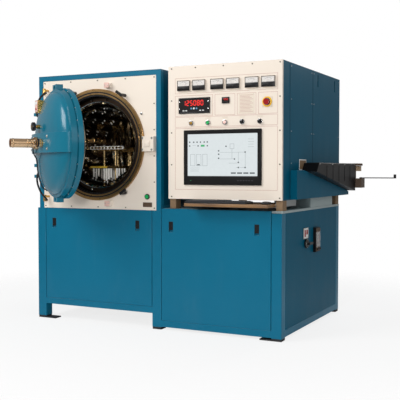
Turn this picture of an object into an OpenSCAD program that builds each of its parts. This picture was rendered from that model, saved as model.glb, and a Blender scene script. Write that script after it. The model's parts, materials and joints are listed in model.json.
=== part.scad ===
// Front-loading vacuum furnace: a base cabinet, a chamber box on its left bay
// and a control cabinet on its right bay. Millimetres, +Z up, front towards -Y.
// The origin lies on the floor, at the centre of the four anchor holes.

/* [Overall] */
// Width of the left bay over its posts, which carries the chamber box
left_bay_w = 1160; // [1100:5:1300]
// Depth of the base cabinet and of both upper boxes
depth = 1380; // [1250:10:1600]
// Height of the base cabinet
base_h = 905; // [850:5:1000]
// Width of the right bay, which carries the control cabinet
right_bay_w = 970; // [960:5:1100]
// Step of the chamber box in from the base's left side
furnace_in = 20; // [0:5:60]
// Height of the chamber box
furnace_h = 1065; // [1030:5:1200]
// Step of the control cabinet in from the middle post
cab_in = 65; // [40:5:100]
// Height of the control cabinet
cab_h = 983; // [950:1:1100]
// Open gap between the deck and the control cabinet
cab_gap = 75; // [72:1:110]

/* [Frame] */
// Width of a square base post
post_w = 78; // [60:2:90]
// Wall of every square tube
tube_wall = 4; // [2:1:6]
// Height of a base rail
rail_h = 50; // [40:2:60]
// Floor to the left bay's bottom rail
left_rail_z = 120; // [90:5:200]
// Height of a foot
foot_h = 18; // [12:1:30]
// Foot to the right bay's bottom rail
skirt_drop = 4; // [2:1:20]
// Thickness of a folded cover
cover_t = 20; // [14:1:26]
// Joint line round a cover
cover_gap = 4; // [2:1:6]
// Thickness of sheet metal
sheet_t = 3; // [2:1:4]
// Width of the chamber box's square posts
upright_w = 42; // [34:1:48]
// Thickness of the grey deck
deck_t = 17; // [10:1:24]

/* [Chamber] */
// Chamber axis to the left of the chamber box's centre
chamber_off = 9; // [0:1:15]
// Chamber axis above the base cabinet
chamber_up = 505; // [495:5:540]
// Outside radius of the bronze flange
flange_r = 436; // [420:1:445]
// Inside radius of the flange and the chamber
bore_r = 390; // [380:1:400]
// Thickness of the flange
flange_t = 40; // [30:1:60]
// Reach of the flange in front of the box
flange_proud = 15; // [8:1:30]
// Outside radius of the water jacket
jacket_r = 424; // [415:1:432]
// Length of the straight jacket
jacket_l = 900; // [820:10:950]
// Depth of the dished rear head
head_depth = 190; // [150:5:220]
// Wall of the dished heads
head_wall = 12; // [8:1:16]
// Radius of the pumping port
pump_port_r = 130; // [100:5:140]

/* [Hot zone] */
// Inside radius of the shields
zone_r = 325; // [315:1:335]
// Length of the hot zone
zone_l = 700; // [600:10:760]
// Flange face to the hot zone's front ring
zone_in = 55; // [45:1:80]
// Number of shield staves round the zone
stave_count = 16; // [12:2:18]
// Radius that the heating strips lie on
strip_r = 298; // [290:1:304]
// Width of a heating strip
strip_w = 56; // [40:1:66]
// Number of hearth rods
hearth_rods = 9; // [7:1:11]
// Radius of a hearth rod
hearth_rod_r = 9; // [6:1:11]
// Distance between hearth rods
hearth_pitch = 33; // [28:1:36]
// Hearth rods below the chamber axis
hearth_drop = 20; // [10:5:60]

/* [Door] */
// Angle that the door stands open
door_open = 36; // [0:1:90]
// Hinge axis from the chamber box's left side
hinge_in = 90; // [80:1:92]
// Hinge axis in front of the chamber box
hinge_out = 50; // [46:1:56]
// Radius of the door flange
door_r = 415; // [405:1:420]
// Thickness of the door flange
door_flange_t = 37; // [30:1:42]
// Outside radius of the door's skirt
skirt_r = 405; // [395:1:410]
// Height of the skirt over the rim plane
skirt_t = 90; // [80:1:100]
// Rim plane to the crown of the dish
door_depth = 200; // [180:5:230]
// Height of the beam across the door
beam_h = 146; // [120:2:170]
// Outside radius of the door's port tube
port_tube_r = 33; // [26:1:40]
// Rim plane to the end of the port tube
port_tube_end = 425; // [380:5:450]
// Radius of the hinge pins
pin_r = 9; // [6:1:11]

/* [Control panel] */
// Depth of the panel's folded tray
tray_d = 20; // [14:1:30]
// Width of a meter
meter_w = 104; // [90:1:108]
// Height of a meter
meter_h = 76; // [60:1:90]
// Width of the monitor's bezel
bezel_w = 618; // [560:2:640]
// Height of the monitor's bezel
bezel_h = 402; // [360:2:430]
// Distance between the switches in the row
switch_pitch = 136; // [110:1:140]
// Width of the keyboard shelf
shelf_w = 652; // [560:1:656]
// Depth of the keyboard shelf
shelf_d = 400; // [330:5:450]
// Distance that the shelf stands pulled out
shelf_out = 130; // [0:5:200]
// Length of the keyboard
keyboard_w = 485; // [430:1:490]
// Radius of the stop button's head
stop_r = 21; // [16:1:26]

/* [Pumps] */
// Radius of the diffusion pump's barrel
pump_r = 140; // [120:2:160]
// Height of the diffusion pump
pump_h = 430; // [380:5:440]
// Height of the valve over the diffusion pump
valve_h = 190; // [160:5:200]
// Radius of the foreline pipe
foreline_r = 25; // [20:1:30]

/* [Side recorder] */
// Cheek plate outside the cabinet's side
cheek_out = 50; // [30:1:70]
// Height of the cheek's upright front edge
cheek_h = 210; // [180:5:240]
// Depth of the case from its front to its rear end
case_l = 1060; // [900:10:1100]
// Reach of the swinging arm
arm_l = 300; // [220:5:340]

/* [Hidden] */

// How far every cut runs past the solid
cut = 1;
// Clearance between pieces of one body
fit = 0.3;
// Radial clearance of a shaft in its bore
run_fit = 0.05;
// Clearance between pieces that move past each other
free_gap = 0.6;
$fn = 96;
// Facets of small round pieces
fine = 40;

// Outer planes of the whole machine
base_w = left_bay_w + right_bay_w;
x_left = -base_w / 2;
x_right = base_w / 2;
y_front = -depth / 2;
y_rear = depth / 2;
mid_x = x_right - right_bay_w - post_w;
post_top = base_h;
deck_z = base_h + deck_t;
cab_z = deck_z + cab_gap;
cab_w = right_bay_w - cab_in;
cab_x = x_right - cab_w;
cab_top = cab_z + cab_h;
furn_x = x_left + furnace_in;
furn_r = mid_x + post_w;
furn_w = furn_r - furn_x;
furn_top = base_h + furnace_h;
skirt_z = foot_h + skirt_drop;
chamber_x = furn_x + furn_w / 2 - chamber_off;
chamber_z = base_h + chamber_up;
face_y = y_front - flange_proud;
hinge_x = furn_x + hinge_in;
hinge_y = y_front - hinge_out;

// Basic solids

module block(at, size) {
    translate(at) cube(size);
}

// Square tube, hollow along one axis: 0 is X, 1 is Y, 2 is Z
module hollow_bar(at, size, along) {
    start = [for (i = [0:2]) i == along ? -cut : tube_wall];
    void = [for (i = [0:2]) i == along ? size[i] + 2 * cut : size[i] - 2 * tube_wall];
    translate(at) difference() {
        cube(size);
        translate(start) cube(void);
    }
}

// Folded cover: a tray whose open side faces +Y before it is turned
module tray(size, wall) {
    difference() {
        cube(size);
        translate([wall, wall, wall])
            cube([size.x - 2 * wall, size.y, size.z - 2 * wall]);
    }
}

module ring(outer, inner, height) {
    difference() {
        cylinder(r = outer, h = height);
        translate([0, 0, -cut]) cylinder(r = inner, h = height + 2 * cut);
    }
}

// Turns a shape so that its +Z points to the front
module to_front() {
    rotate([90, 0, 0]) children();
}

// Turns a shape so that its +Z points to the rear
module to_rear() {
    rotate([-90, 0, 0]) children();
}

// Turns a shape so that its +Z points to the right
module to_right() {
    rotate([0, 90, 0]) children();
}

// Solid of revolution behind the flange face, +Z running into the chamber
module in_chamber(depth_in = 0) {
    translate([chamber_x, face_y + depth_in, chamber_z]) to_rear() children();
}

// Swept round tube along a list of points
function unit(v) = v / norm(v);
function heading(pts, i) =
    unit(pts[min(i + 1, len(pts) - 1)] - pts[max(i - 1, 0)]);
function across(h, last) = unit(last - h * (last * h));
function frames(pts, i = 0, last = [0.31, 0.57, 0.76], found = []) =
    i == len(pts) ? found
    : let (side = across(heading(pts, i), last))
      frames(pts, i + 1, side, concat(found, [side]));
function smooth(pts, steps) = [
    for (i = [0:len(pts) - 2])
        let (a = pts[max(i - 1, 0)], b = pts[i], c = pts[i + 1], d = pts[min(i + 2, len(pts) - 1)])
        for (k = [0:steps - 1])
            let (t = k / steps)
            0.5 * (2 * b + (c - a) * t + (2 * a - 5 * b + 4 * c - d) * t * t
                + (3 * b - a - 3 * c + d) * t * t * t),
    pts[len(pts) - 1]
];

module swept_tube(pts, radius, sides = 10) {
    side = frames(pts);
    rings = len(pts);
    points = [
        for (i = [0:rings - 1])
            let (h = heading(pts, i), u = side[i], v = cross(h, u))
            for (k = [0:sides - 1])
                let (a = 360 * k / sides)
                pts[i] + radius * (cos(a) * u + sin(a) * v)
    ];
    walls = [
        for (i = [0:rings - 2], k = [0:sides - 1])
            let (a = i * sides + k, b = i * sides + (k + 1) % sides)
            for (face = [[a, a + sides, b], [b, a + sides, b + sides]]) face
    ];
    ends = [
        [for (k = [0:sides - 1]) k],
        [for (k = [sides - 1:-1:0]) (rings - 1) * sides + k]
    ];
    polyhedron(points = points, faces = concat(walls, ends));
}

// Base cabinet

post_xs = [x_left, mid_x, x_right - post_w];
post_ys = [y_front, y_rear - post_w];
bays = [[x_left + post_w, mid_x, left_rail_z], [mid_x + post_w, x_right - post_w, skirt_z]];
rail_back = cover_t + free_gap;
rail_d = 44;

module base_rail_pair(bay) {
    run = bay[1] - bay[0];
    hollow_bar([bay[0], y_front, bay[2]], [run, rail_d, rail_h], 0);
    hollow_bar([bay[0], y_rear - rail_d, bay[2]], [run, rail_d, rail_h], 0);
    hollow_bar([bay[0], y_front + rail_back, post_top - rail_h], [run, rail_d, rail_h], 0);
    hollow_bar([bay[0], y_rear - rail_back - rail_d, post_top - rail_h], [run, rail_d, rail_h], 0);
}

module base_frame() color([0.08, 0.40, 0.50]) {
    side_run = depth - 2 * post_w;
    for (x = post_xs, y = post_ys)
        hollow_bar([x, y, foot_h], [post_w, post_w, post_top - foot_h], 2);
    for (bay = bays) base_rail_pair(bay);
    for (end = [[x_left, left_rail_z, rail_back], [mid_x, left_rail_z, 0]]) {
        hollow_bar([end[0], y_front + post_w, end[1]], [rail_d, side_run, rail_h], 1);
        hollow_bar([end[0] + end[2], y_front + post_w, post_top - rail_h],
            [rail_d, side_run, rail_h], 1);
    }
    hollow_bar([x_right - rail_d, y_front + post_w, skirt_z], [rail_d, side_run, rail_h], 1);
    hollow_bar([x_right - rail_back - rail_d, y_front + post_w, post_top - rail_h],
        [rail_d, side_run, rail_h], 1);
}

foot_w = 74;
anchor_w = 90;
anchor_t = 10;
anchor_hole_r = 7;
anchor_x = base_w / 2 - post_w - anchor_w / 2;
anchor_y = depth / 2 - post_w / 2;

module base_feet() color([0.16, 0.17, 0.18]) {
    pad_in = (post_w - foot_w) / 2;
    for (x = post_xs, y = post_ys)
        block([x + pad_in, y + pad_in, 0], [foot_w, foot_w, foot_h]);
    // Anchor plates stand beside the corner feet
    for (sx = [-1, 1], sy = [-1, 1])
        translate([sx * anchor_x, sy * anchor_y, 0]) difference() {
            translate([-anchor_w / 2 - (sx > 0 ? 0 : pad_in), -foot_w / 2, 0])
                cube([anchor_w + pad_in, foot_w, anchor_t]);
            translate([0, 0, -cut]) cylinder(r = anchor_hole_r, h = anchor_t + 2 * cut, $fn = fine);
        }
}

// Fixed folded covers on the sides and at the rear, each between two posts
module base_skins() color([0.07, 0.34, 0.44]) {
    side_l = depth - 2 * post_w - 2 * cover_gap;
    left_z = left_rail_z + rail_h;
    right_z = skirt_z + rail_h;
    translate([x_left, y_rear - post_w - cover_gap, left_z]) rotate([0, 0, -90])
        tray([side_l, cover_t, post_top - left_z], sheet_t);
    translate([x_right, y_front + post_w + cover_gap, right_z]) rotate([0, 0, 90])
        tray([side_l, cover_t, post_top - right_z], sheet_t);
    for (bay = bays) {
        run = bay[1] - bay[0] - 2 * cover_gap;
        z = bay[2] + rail_h;
        translate([bay[1] - cover_gap, y_rear, z]) rotate([0, 0, 180])
            tray([run, cover_t, post_top - z], sheet_t);
    }
}

floor_t = 6;

module base_deck() color([0.62, 0.68, 0.68]) {
    deck_y = y_front + rail_back;
    deck_run = y_rear - deck_y;
    block([furn_r, deck_y, base_h], [x_right - furn_r, deck_run, deck_t]);
    // Floor trays on the bottom rails carry the pumps and the transformer
    for (bay = bays)
        block([bay[0], deck_y, bay[2] + rail_h], [bay[1] - bay[0], deck_run - rail_back, floor_t]);
}

// Chamber box

crown_h = 37;
sill_h = 40;
front_t = 4;
front_in = 3;
sill_back = front_in + front_t;
furn_back_in = 80;
furn_depth = depth - furn_back_in;
furn_rear = y_front + furn_depth;
cradle_ys = [250, 830];
cradle_t = 30;
cradle_w = 480;
cradle_top = 180;

module furnace_frame() color([0.08, 0.40, 0.50]) {
    top = furn_top - sheet_t;
    inner_w = furn_w - 2 * upright_w;
    inner_d = furn_depth - 2 * upright_w;
    x_in = furn_x + upright_w;
    for (x = [furn_x, furn_r - upright_w], y = [y_front, furn_rear - upright_w])
        hollow_bar([x, y, base_h], [upright_w, upright_w, top - base_h], 2);
    for (y = [y_front, furn_rear - upright_w])
        hollow_bar([x_in, y, top - crown_h], [inner_w, upright_w, crown_h], 0);
    for (x = [furn_x + rail_back, furn_r - rail_back - upright_w])
        hollow_bar([x, y_front + upright_w, top - crown_h], [upright_w, inner_d, crown_h], 1);
    for (y = [y_front + sill_back, furn_rear - upright_w])
        hollow_bar([x_in, y, base_h], [inner_w, upright_w - sill_back, sill_h], 0);
    for (x = [furn_x, furn_r - upright_w])
        hollow_bar([x, y_front + upright_w, base_h], [upright_w, inner_d, sill_h], 1);
    // Cross members with cradles under the chamber
    for (y = cradle_ys) {
        hollow_bar([x_in, y_front + y, base_h], [inner_w, cradle_t, sill_h], 0);
        difference() {
            block([chamber_x - cradle_w / 2, y_front + y, base_h + sill_h],
                [cradle_w, cradle_t, cradle_top - sill_h]);
            translate([chamber_x, y_front + y - cut, chamber_z]) to_rear()
                cylinder(r = jacket_r + fit, h = cradle_t + 2 * cut);
        }
    }
}

vent_count = 9;
vent_w = 180;
vent_h = 9;
vent_pitch = 26;

// Covers of the chamber box: two sides, the rear with its vents, and the top
module furnace_skins() color([0.07, 0.34, 0.44]) {
    top = furn_top - sheet_t;
    low = base_h + sill_h;
    run = furn_depth - 2 * upright_w - 2 * cover_gap;
    back = furn_w - 2 * upright_w - 2 * cover_gap;
    translate([furn_x, furn_rear - upright_w - cover_gap, low]) rotate([0, 0, -90])
        tray([run, cover_t, top - low], sheet_t);
    translate([furn_r, y_front + upright_w + cover_gap, low]) rotate([0, 0, 90])
        tray([run, cover_t, top - low], sheet_t);
    translate([furn_r - upright_w - cover_gap, furn_rear, low]) rotate([0, 0, 180])
        difference() {
            tray([back, cover_t, top - crown_h - low], sheet_t);
            for (side = [1, 3], k = [0:vent_count - 1])
                translate([side * back / 4 - vent_w / 2, -cut,
                    (top - crown_h - low) / 2 + (k - (vent_count - 1) / 2) * vent_pitch])
                    cube([vent_w, sheet_t + 2 * cut, vent_h]);
        }
    block([furn_x, y_front, top], [furn_w, furn_depth, sheet_t]);
}

front_gap = 1;
latch_block_w = 112;
latch_block_h = 113;
latch_block_t = 40;
receiver_w = 50;
receiver_h = 34;
receiver_t = 22;
receiver_x = 118;
receiver_r = 458;

// Cream front plate with the door's latch block and two receivers
module furnace_front_panel() color([0.93, 0.87, 0.79]) {
    x = furn_x + upright_w + front_gap;
    w = furn_w - 2 * upright_w - 2 * front_gap;
    h = furnace_h - sheet_t - crown_h - 2 * front_gap;
    difference() {
        block([x, y_front + front_in, base_h + front_gap], [w, front_t, h]);
        translate([chamber_x, y_front, chamber_z]) to_rear()
            cylinder(r = flange_r + free_gap, h = sill_back + cut);
    }
    face = y_front + front_in;
    difference() {
        block([furn_r - upright_w - front_gap - latch_block_w - cut, face - latch_block_t,
            chamber_z - latch_block_h / 2], [latch_block_w, latch_block_t, latch_block_h]);
        in_chamber(-latch_block_t) cylinder(r = flange_r + free_gap, h = 2 * latch_block_t);
    }
    for (side = [-1, 1])
        block([chamber_x + receiver_x - receiver_w / 2, face - receiver_t,
            chamber_z + side * receiver_r - receiver_h / 2], [receiver_w, receiver_t, receiver_h]);
}

screw_r = 5;
screw_h = 3;
edge_in = 17;
furn_screw_cols = 5;
furn_screw_rows = 6;
cab_screw_rows = 5;
cab_screw_in = 28;

module screw_head() {
    to_front() cylinder(r = screw_r, h = screw_h, $fn = fine);
}

module panel_screws() color([0.35, 0.33, 0.30]) {
    low = base_h + edge_in;
    high = furn_top - sheet_t - crown_h - edge_in;
    left = furn_x + upright_w + edge_in;
    right = furn_r - upright_w - edge_in;
    for (i = [0:furn_screw_cols - 1])
        for (z = [low, high])
            translate([left + (right - left) * i / (furn_screw_cols - 1), y_front + front_in, z])
                screw_head();
    for (i = [1:furn_screw_rows - 2], x = [left, right])
        translate([x, y_front + front_in, low + (high - low) * i / (furn_screw_rows - 1)])
            screw_head();
    cab_low = cab_z + edge_in;
    cab_high = cab_top - edge_in;
    for (i = [0:cab_screw_rows - 1], x = [cab_x + cab_screw_in, x_right - edge_in])
        translate([x, y_front, cab_low + (cab_high - cab_low) * i / (cab_screw_rows - 1)])
            screw_head();
    for (i = [1:3])
        translate([cab_x + cab_w * i / 4, y_front, cab_high]) screw_head();
}

// Vacuum chamber

port_y = 600;
port_wall = 8;
stub_drop = 85;
stub_z = base_h - stub_drop;
port_flange_w = 30;
port_flange_t = 20;
feed_ys = [370, 500, 620];
feed_r = 14;
feed_hole_r = 22;
feed_boss_r = 40;
feed_boss_h = 14;
arc_steps = 14;

function dome(radius, base, rise, first = 0) = [
    for (k = [0:arc_steps])
        let (a = first + (90 - first) * k / arc_steps)
        [radius * cos(a), base + rise * sin(a)]
];
function turned_round(list) = [for (i = [len(list) - 1:-1:0]) list[i]];

module chamber_outline() {
    tail = flange_t + jacket_l;
    outside = dome(jacket_r, tail, head_depth);
    inside = dome(bore_r, tail, head_depth - head_wall);
    polygon(concat([[bore_r, flange_t], [jacket_r, flange_t]], outside, turned_round(inside)));
}

module chamber_cavity() {
    tail = flange_t + jacket_l;
    polygon(concat([[0, flange_t], [bore_r, flange_t]], dome(bore_r, tail, head_depth - head_wall)));
}

module chamber_shell() color([0.45, 0.47, 0.48]) {
    difference() {
        union() {
            in_chamber() rotate_extrude() chamber_outline();
            translate([chamber_x, y_front + port_y, stub_z]) {
                cylinder(r = pump_port_r, h = chamber_z - stub_z - bore_r);
                cylinder(r = pump_port_r + port_flange_w, h = port_flange_t);
            }
            for (y = feed_ys)
                translate([chamber_x + bore_r + port_wall, y_front + y, chamber_z]) to_right()
                    cylinder(r = feed_boss_r, h = jacket_r - bore_r - port_wall + feed_boss_h);
        }
        in_chamber() rotate_extrude() chamber_cavity();
        translate([chamber_x, y_front + port_y, stub_z - cut])
            cylinder(r = pump_port_r - port_wall, h = chamber_z - stub_z);
        for (y = feed_ys)
            translate([chamber_x + zone_r, y_front + y, chamber_z]) to_right()
                cylinder(r = feed_hole_r, h = jacket_r, $fn = fine);
    }
}

groove_r = 403;
groove_w = 9;
groove_depth = 6;
o_ring_proud = 1.2;

module chamber_flange() color([0.55, 0.43, 0.28]) {
    in_chamber() difference() {
        ring(flange_r, bore_r, flange_t);
        translate([0, 0, -cut]) ring(groove_r + groove_w, groove_r, groove_depth + cut);
    }
}

module flange_o_ring() color([0.08, 0.08, 0.08]) {
    in_chamber(-o_ring_proud)
        ring(groove_r + groove_w - fit, groove_r + fit, groove_depth + o_ring_proud);
}

// Hot zone

stave_t = 8;
zone_ring_t = 8;
zone_ring_w = 20;
zone_back_t = 10;
stay_w = 24;
stay_shares = [0.15, 0.85];

// Part of a flat ring between two radii
module ring_sector(inner, outer, height, span) {
    steps = 4;
    near = [for (k = [0:steps]) let (a = span * (k / steps - 0.5)) inner * [cos(a), sin(a)]];
    far = [for (k = [steps:-1:0]) let (a = span * (k / steps - 0.5)) outer * [cos(a), sin(a)]];
    linear_extrude(height = height) polygon(concat(near, far));
}

module feed_holes(radius, reach) {
    for (y = feed_ys)
        translate([chamber_x, y_front + y, chamber_z]) to_right()
            cylinder(r = radius, h = reach, $fn = fine);
}

module hot_zone_shields() color([0.75, 0.73, 0.70]) {
    turn = 360 / stave_count;
    stave_w = 2 * zone_r * tan(turn / 2) - free_gap;
    seam = free_gap / zone_r * 180 / PI;
    difference() {
        in_chamber(zone_in + zone_ring_t + fit)
            for (i = [0:stave_count - 1])
                rotate(i * turn) translate([zone_r, -stave_w / 2, 0])
                    cube([stave_t, stave_w, zone_l]);
        feed_holes(feed_hole_r, bore_r);
    }
    in_chamber(zone_in)
        for (i = [0:stave_count - 1])
            rotate(i * turn) ring_sector(zone_r, zone_r + zone_ring_w, zone_ring_t, turn - seam);
    in_chamber(zone_in + zone_ring_t + zone_l + 2 * fit)
        cylinder(r = zone_r + stave_t, h = zone_back_t);
    // Stays hold the staves off the chamber wall
    stay_h = sqrt(pow(bore_r - fit, 2) - pow(stay_w / 2, 2)) - zone_r - stave_t;
    for (share = stay_shares, i = [1:2:7])
        in_chamber(zone_in + zone_ring_t + share * zone_l - stay_w / 2)
            rotate(i * 45) translate([zone_r + stave_t, -stay_w / 2, 0])
                cube([stay_h, stay_w, stay_w]);
}

strip_t = 3;
link_w = 30;
strip_in = 40;
standoff_r = 6;
standoff_shares = [0.1, 0.5, 0.9];

module heating_elements() color([0.80, 0.74, 0.66]) {
    turn = 360 / stave_count;
    strip_l = zone_l - 2 * strip_in;
    start = zone_in + zone_ring_t + strip_in;
    for (i = [0:stave_count - 1]) {
        in_chamber(start) rotate(i * turn) translate([strip_r, -strip_w / 2, 0])
            cube([strip_t, strip_w, strip_l]);
        // A link joins each strip to the next, in turn at the front and the rear
        in_chamber(start + (i % 2 == 0 ? 0 : strip_l - link_w)) rotate((i + 0.5) * turn)
            translate([strip_r * cos(turn / 2) - strip_t / 2, -strip_r * sin(turn / 2), 0])
                cube([strip_t, 2 * strip_r * sin(turn / 2), link_w]);
        for (share = standoff_shares)
            in_chamber(start + share * strip_l) rotate(i * turn)
                translate([strip_r + strip_t, 0, 0]) to_right()
                    cylinder(r = standoff_r, h = zone_r - strip_r - strip_t, $fn = fine);
    }
}

hearth_l = 520;
hearth_in = 90;
hearth_bar = 14;
hearth_post_r = 9;
hearth_post_x = 54;
hearth_plate_z = -185;
hearth_plate_w = 200;
hearth_plate_t = 20;
hearth_row_shares = [0.1, 0.5, 0.9];

module hearth() color([0.80, 0.70, 0.45]) {
    y0 = face_y + zone_in + hearth_in;
    rod_z = chamber_z - hearth_drop;
    bar_z = rod_z - hearth_rod_r - hearth_bar;
    bar_w = (hearth_rods + 1) * hearth_pitch;
    plate_z = chamber_z + hearth_plate_z;
    for (i = [0:hearth_rods - 1])
        translate([chamber_x + (i - (hearth_rods - 1) / 2) * hearth_pitch, y0, rod_z]) to_rear()
            cylinder(r = hearth_rod_r, h = hearth_l, $fn = fine);
    block([chamber_x - hearth_plate_w / 2, y0, plate_z],
        [hearth_plate_w, hearth_l, hearth_plate_t]);
    for (share = hearth_row_shares) {
        y = y0 + share * (hearth_l - hearth_bar);
        block([chamber_x - bar_w / 2, y, bar_z], [bar_w, hearth_bar, hearth_bar]);
        for (side = [-1, 1]) {
            translate([chamber_x + side * hearth_post_x, y + hearth_bar / 2, chamber_z - zone_r])
                cylinder(r = hearth_post_r, h = zone_r + hearth_plate_z, $fn = fine);
            translate([chamber_x + side * hearth_post_x, y + hearth_bar / 2,
                plate_z + hearth_plate_t])
                cylinder(r = hearth_post_r, h = bar_z - plate_z - hearth_plate_t, $fn = fine);
        }
    }
}

feed_side = 80;
feed_flange_t = 12;

// Copper feedthroughs in insulating flanges on the jacket's right side
module power_feedthroughs() color([0.72, 0.45, 0.25]) {
    seat = chamber_x + jacket_r + feed_boss_h;
    for (y = feed_ys) translate([0, y_front + y, chamber_z]) {
        translate([chamber_x + strip_r + strip_t, 0, 0]) to_right()
            cylinder(r = feed_r, h = furn_r - feed_side - chamber_x - strip_r - strip_t, $fn = fine);
        translate([seat, 0, 0]) to_right() cylinder(r = feed_boss_r, h = feed_flange_t);
    }
}

core_w = 90;
coil_r = 82;
coil_h = 240;
leg_pitch = 175;
transformer_off = 19;
transformer_x = (furn_r + x_right - post_w) / 2 + transformer_off;
transformer_y = 40;

// Three-leg power transformer on the right bay's floor tray
module power_transformer() color([0.42, 0.30, 0.22]) {
    z = skirt_z + rail_h + floor_t;
    yoke_w = 2 * leg_pitch + core_w;
    translate([transformer_x, transformer_y, z]) {
        for (up = [0, core_w + coil_h])
            translate([-yoke_w / 2, -core_w / 2, up]) cube([yoke_w, core_w, core_w]);
        for (i = [-1:1]) translate([i * leg_pitch, 0, core_w]) {
            translate([-core_w / 2, -core_w / 2, 0]) cube([core_w, core_w, coil_h]);
            difference() {
                translate([0, 0, fit]) cylinder(r = coil_r, h = coil_h - 2 * fit);
                translate([-core_w / 2 - fit, -core_w / 2 - fit, -cut])
                    cube([core_w + 2 * fit, core_w + 2 * fit, coil_h + 2 * cut]);
            }
        }
    }
}

// Pumps in the left bay

valve_z = stub_z - valve_h;
pump_z = valve_z - pump_h;
pump_floor = left_rail_z + rail_h + floor_t;
pump_lip = 25;
pump_lip_t = 18;
coil_tube_r = 6;
pump_coils = 6;
coil_start_share = 0.13;
coil_pitch_share = 0.13;
actuator_r = 45;
actuator_l = 230;
valve_r = 172;
arm_z = 90;
arm_out = 60;

module diffusion_pump() color([0.60, 0.61, 0.62]) {
    translate([chamber_x, y_front + port_y, 0]) {
        translate([0, 0, pump_z]) cylinder(r = pump_r, h = pump_h);
        translate([0, 0, valve_z - pump_lip_t]) cylinder(r = pump_r + pump_lip, h = pump_lip_t);
        translate([0, 0, pump_floor]) cylinder(r = pump_r - pump_lip, h = pump_z - pump_floor + cut);
        for (k = [1:pump_coils])
            translate([0, 0, pump_z + (coil_start_share + (k - 1) * coil_pitch_share) * pump_h])
                rotate_extrude()
                    translate([pump_r, 0]) circle(r = coil_tube_r, $fn = fine);
        translate([0, 0, pump_z + arm_z]) to_right()
            cylinder(r = foreline_r + tube_wall, h = pump_r + arm_out, $fn = fine);
    }
}

module high_vacuum_valve() color([0.56, 0.58, 0.60]) {
    translate([chamber_x, y_front + port_y, valve_z]) {
        cylinder(r = valve_r, h = valve_h);
        translate([0, 0, valve_h / 2]) to_rear() cylinder(r = actuator_r, h = valve_r + actuator_l);
        translate([0, valve_r + actuator_l, valve_h / 2]) to_rear()
            cylinder(r = actuator_r + pump_lip_t, h = pump_lip_t);
    }
}

rough_w = 230;
rough_case_d = 170;
rough_case_h = 220;
rough_foot_h = 16;
rough_motor_r = 78;
rough_motor_l = 180;
rough_motor_up = 6;
rough_right = 344;
rough_back = 340;
rough_x = chamber_x + rough_right;
rough_y = y_front + rough_back;
pipe_top = 520;

// Rotary vane pump with its motor, on the left bay's floor tray
module roughing_pump() color([0.28, 0.32, 0.38]) {
    translate([rough_x, rough_y, pump_floor]) {
        translate([-rough_w / 2, -rough_case_d / 2, rough_foot_h])
            cube([rough_w, rough_case_d, rough_case_h]);
        translate([-rough_w / 2, -rough_case_d / 2 - rough_motor_l / 2, 0])
            cube([rough_w, rough_case_d + rough_motor_l / 2, rough_foot_h]);
        translate([0, -rough_case_d / 2, rough_foot_h + rough_motor_r + rough_motor_up]) to_front()
            cylinder(r = rough_motor_r, h = rough_motor_l);
        translate([0, 0, rough_foot_h + rough_case_h])
            cylinder(r = foreline_r + tube_wall, h = tube_wall * 3, $fn = fine);
    }
}

// Straight pipe between two points that differ along one axis, with ball ends
module pipe(a, b, radius) {
    run = b - a;
    turn = run.x != 0 ? [0, run.x > 0 ? 90 : -90, 0]
        : run.y != 0 ? [run.y > 0 ? -90 : 90, 0, 0] : [run.z > 0 ? 0 : 180, 0, 0];
    translate(a) {
        rotate(turn) cylinder(r = radius, h = norm(run), $fn = fine);
    }
}

module vacuum_piping() color([0.66, 0.67, 0.68]) {
    pump_y = y_front + port_y;
    start = [chamber_x + pump_r + arm_out, pump_y, pump_z + arm_z];
    rise = [rough_x, pump_y, start.z];
    over = [rough_x, pump_y, pipe_top];
    back = [rough_x, rough_y, pipe_top];
    end = [rough_x, rough_y, pump_floor + rough_foot_h + rough_case_h + tube_wall * 3];
    pipe(start, rise, foreline_r);
    pipe(rise, over, foreline_r);
    pipe(over, back, foreline_r);
    pipe(back, end, foreline_r);
    for (p = [rise, over, back]) translate(p) sphere(r = foreline_r, $fn = fine);
}

// Cooling and gas connections: manifolds at the rear, swivel halves at the door

manifold_l = 300;
manifold_w = 46;
manifold_up = 70;
manifold_step = 110;
manifold_in = 180;
water_bore_r = 13;
water_bore_l = 36;
exhaust_r = 20;
gas_r = 6;
swivel_r = 14;
swivel_h = 26;
swivel_ups = [935, 80];
stub_r = 9;

module manifold_bar(length, bores) {
    difference() {
        cube([length, manifold_w, manifold_w]);
        for (b = bores)
            translate([b[0], manifold_w + cut, manifold_w / 2]) to_front()
                cylinder(r = b[1], h = water_bore_l + cut, $fn = fine);
    }
}

module cooling_manifold() color([0.70, 0.55, 0.30]) {
    water_ports = [[manifold_l / 4, water_bore_r], [3 * manifold_l / 4, water_bore_r]];
    for (k = [0, 1])
        translate([furn_x + manifold_in, furn_rear, base_h + manifold_up + k * manifold_step])
            manifold_bar(manifold_l, [water_ports[k]]);
    translate([furn_r - manifold_in - manifold_l, furn_rear, base_h + manifold_up])
        manifold_bar(manifold_l, [[manifold_l / 4, exhaust_r], [3 * manifold_l / 4, gas_r]]);
    // Fixed halves of the two hose swivels on the hinge axis
    for (up = swivel_ups) translate([hinge_x, hinge_y, base_h + up]) {
        cylinder(r = swivel_r, h = swivel_h, $fn = fine);
        translate([0, 0, swivel_h / 2]) to_rear()
            cylinder(r = stub_r, h = hinge_out + front_in, $fn = fine);
    }
}

// Control cabinet

strip_d = 145;
seam_d = 665;
slot_w = 18;
slot_h = 94;
slot_up = 866;
slot_ds = [790, 1236];
cab_post_w = 40;
gland_r = 30;
gland_in = 140;
gland_up = 120;

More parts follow.
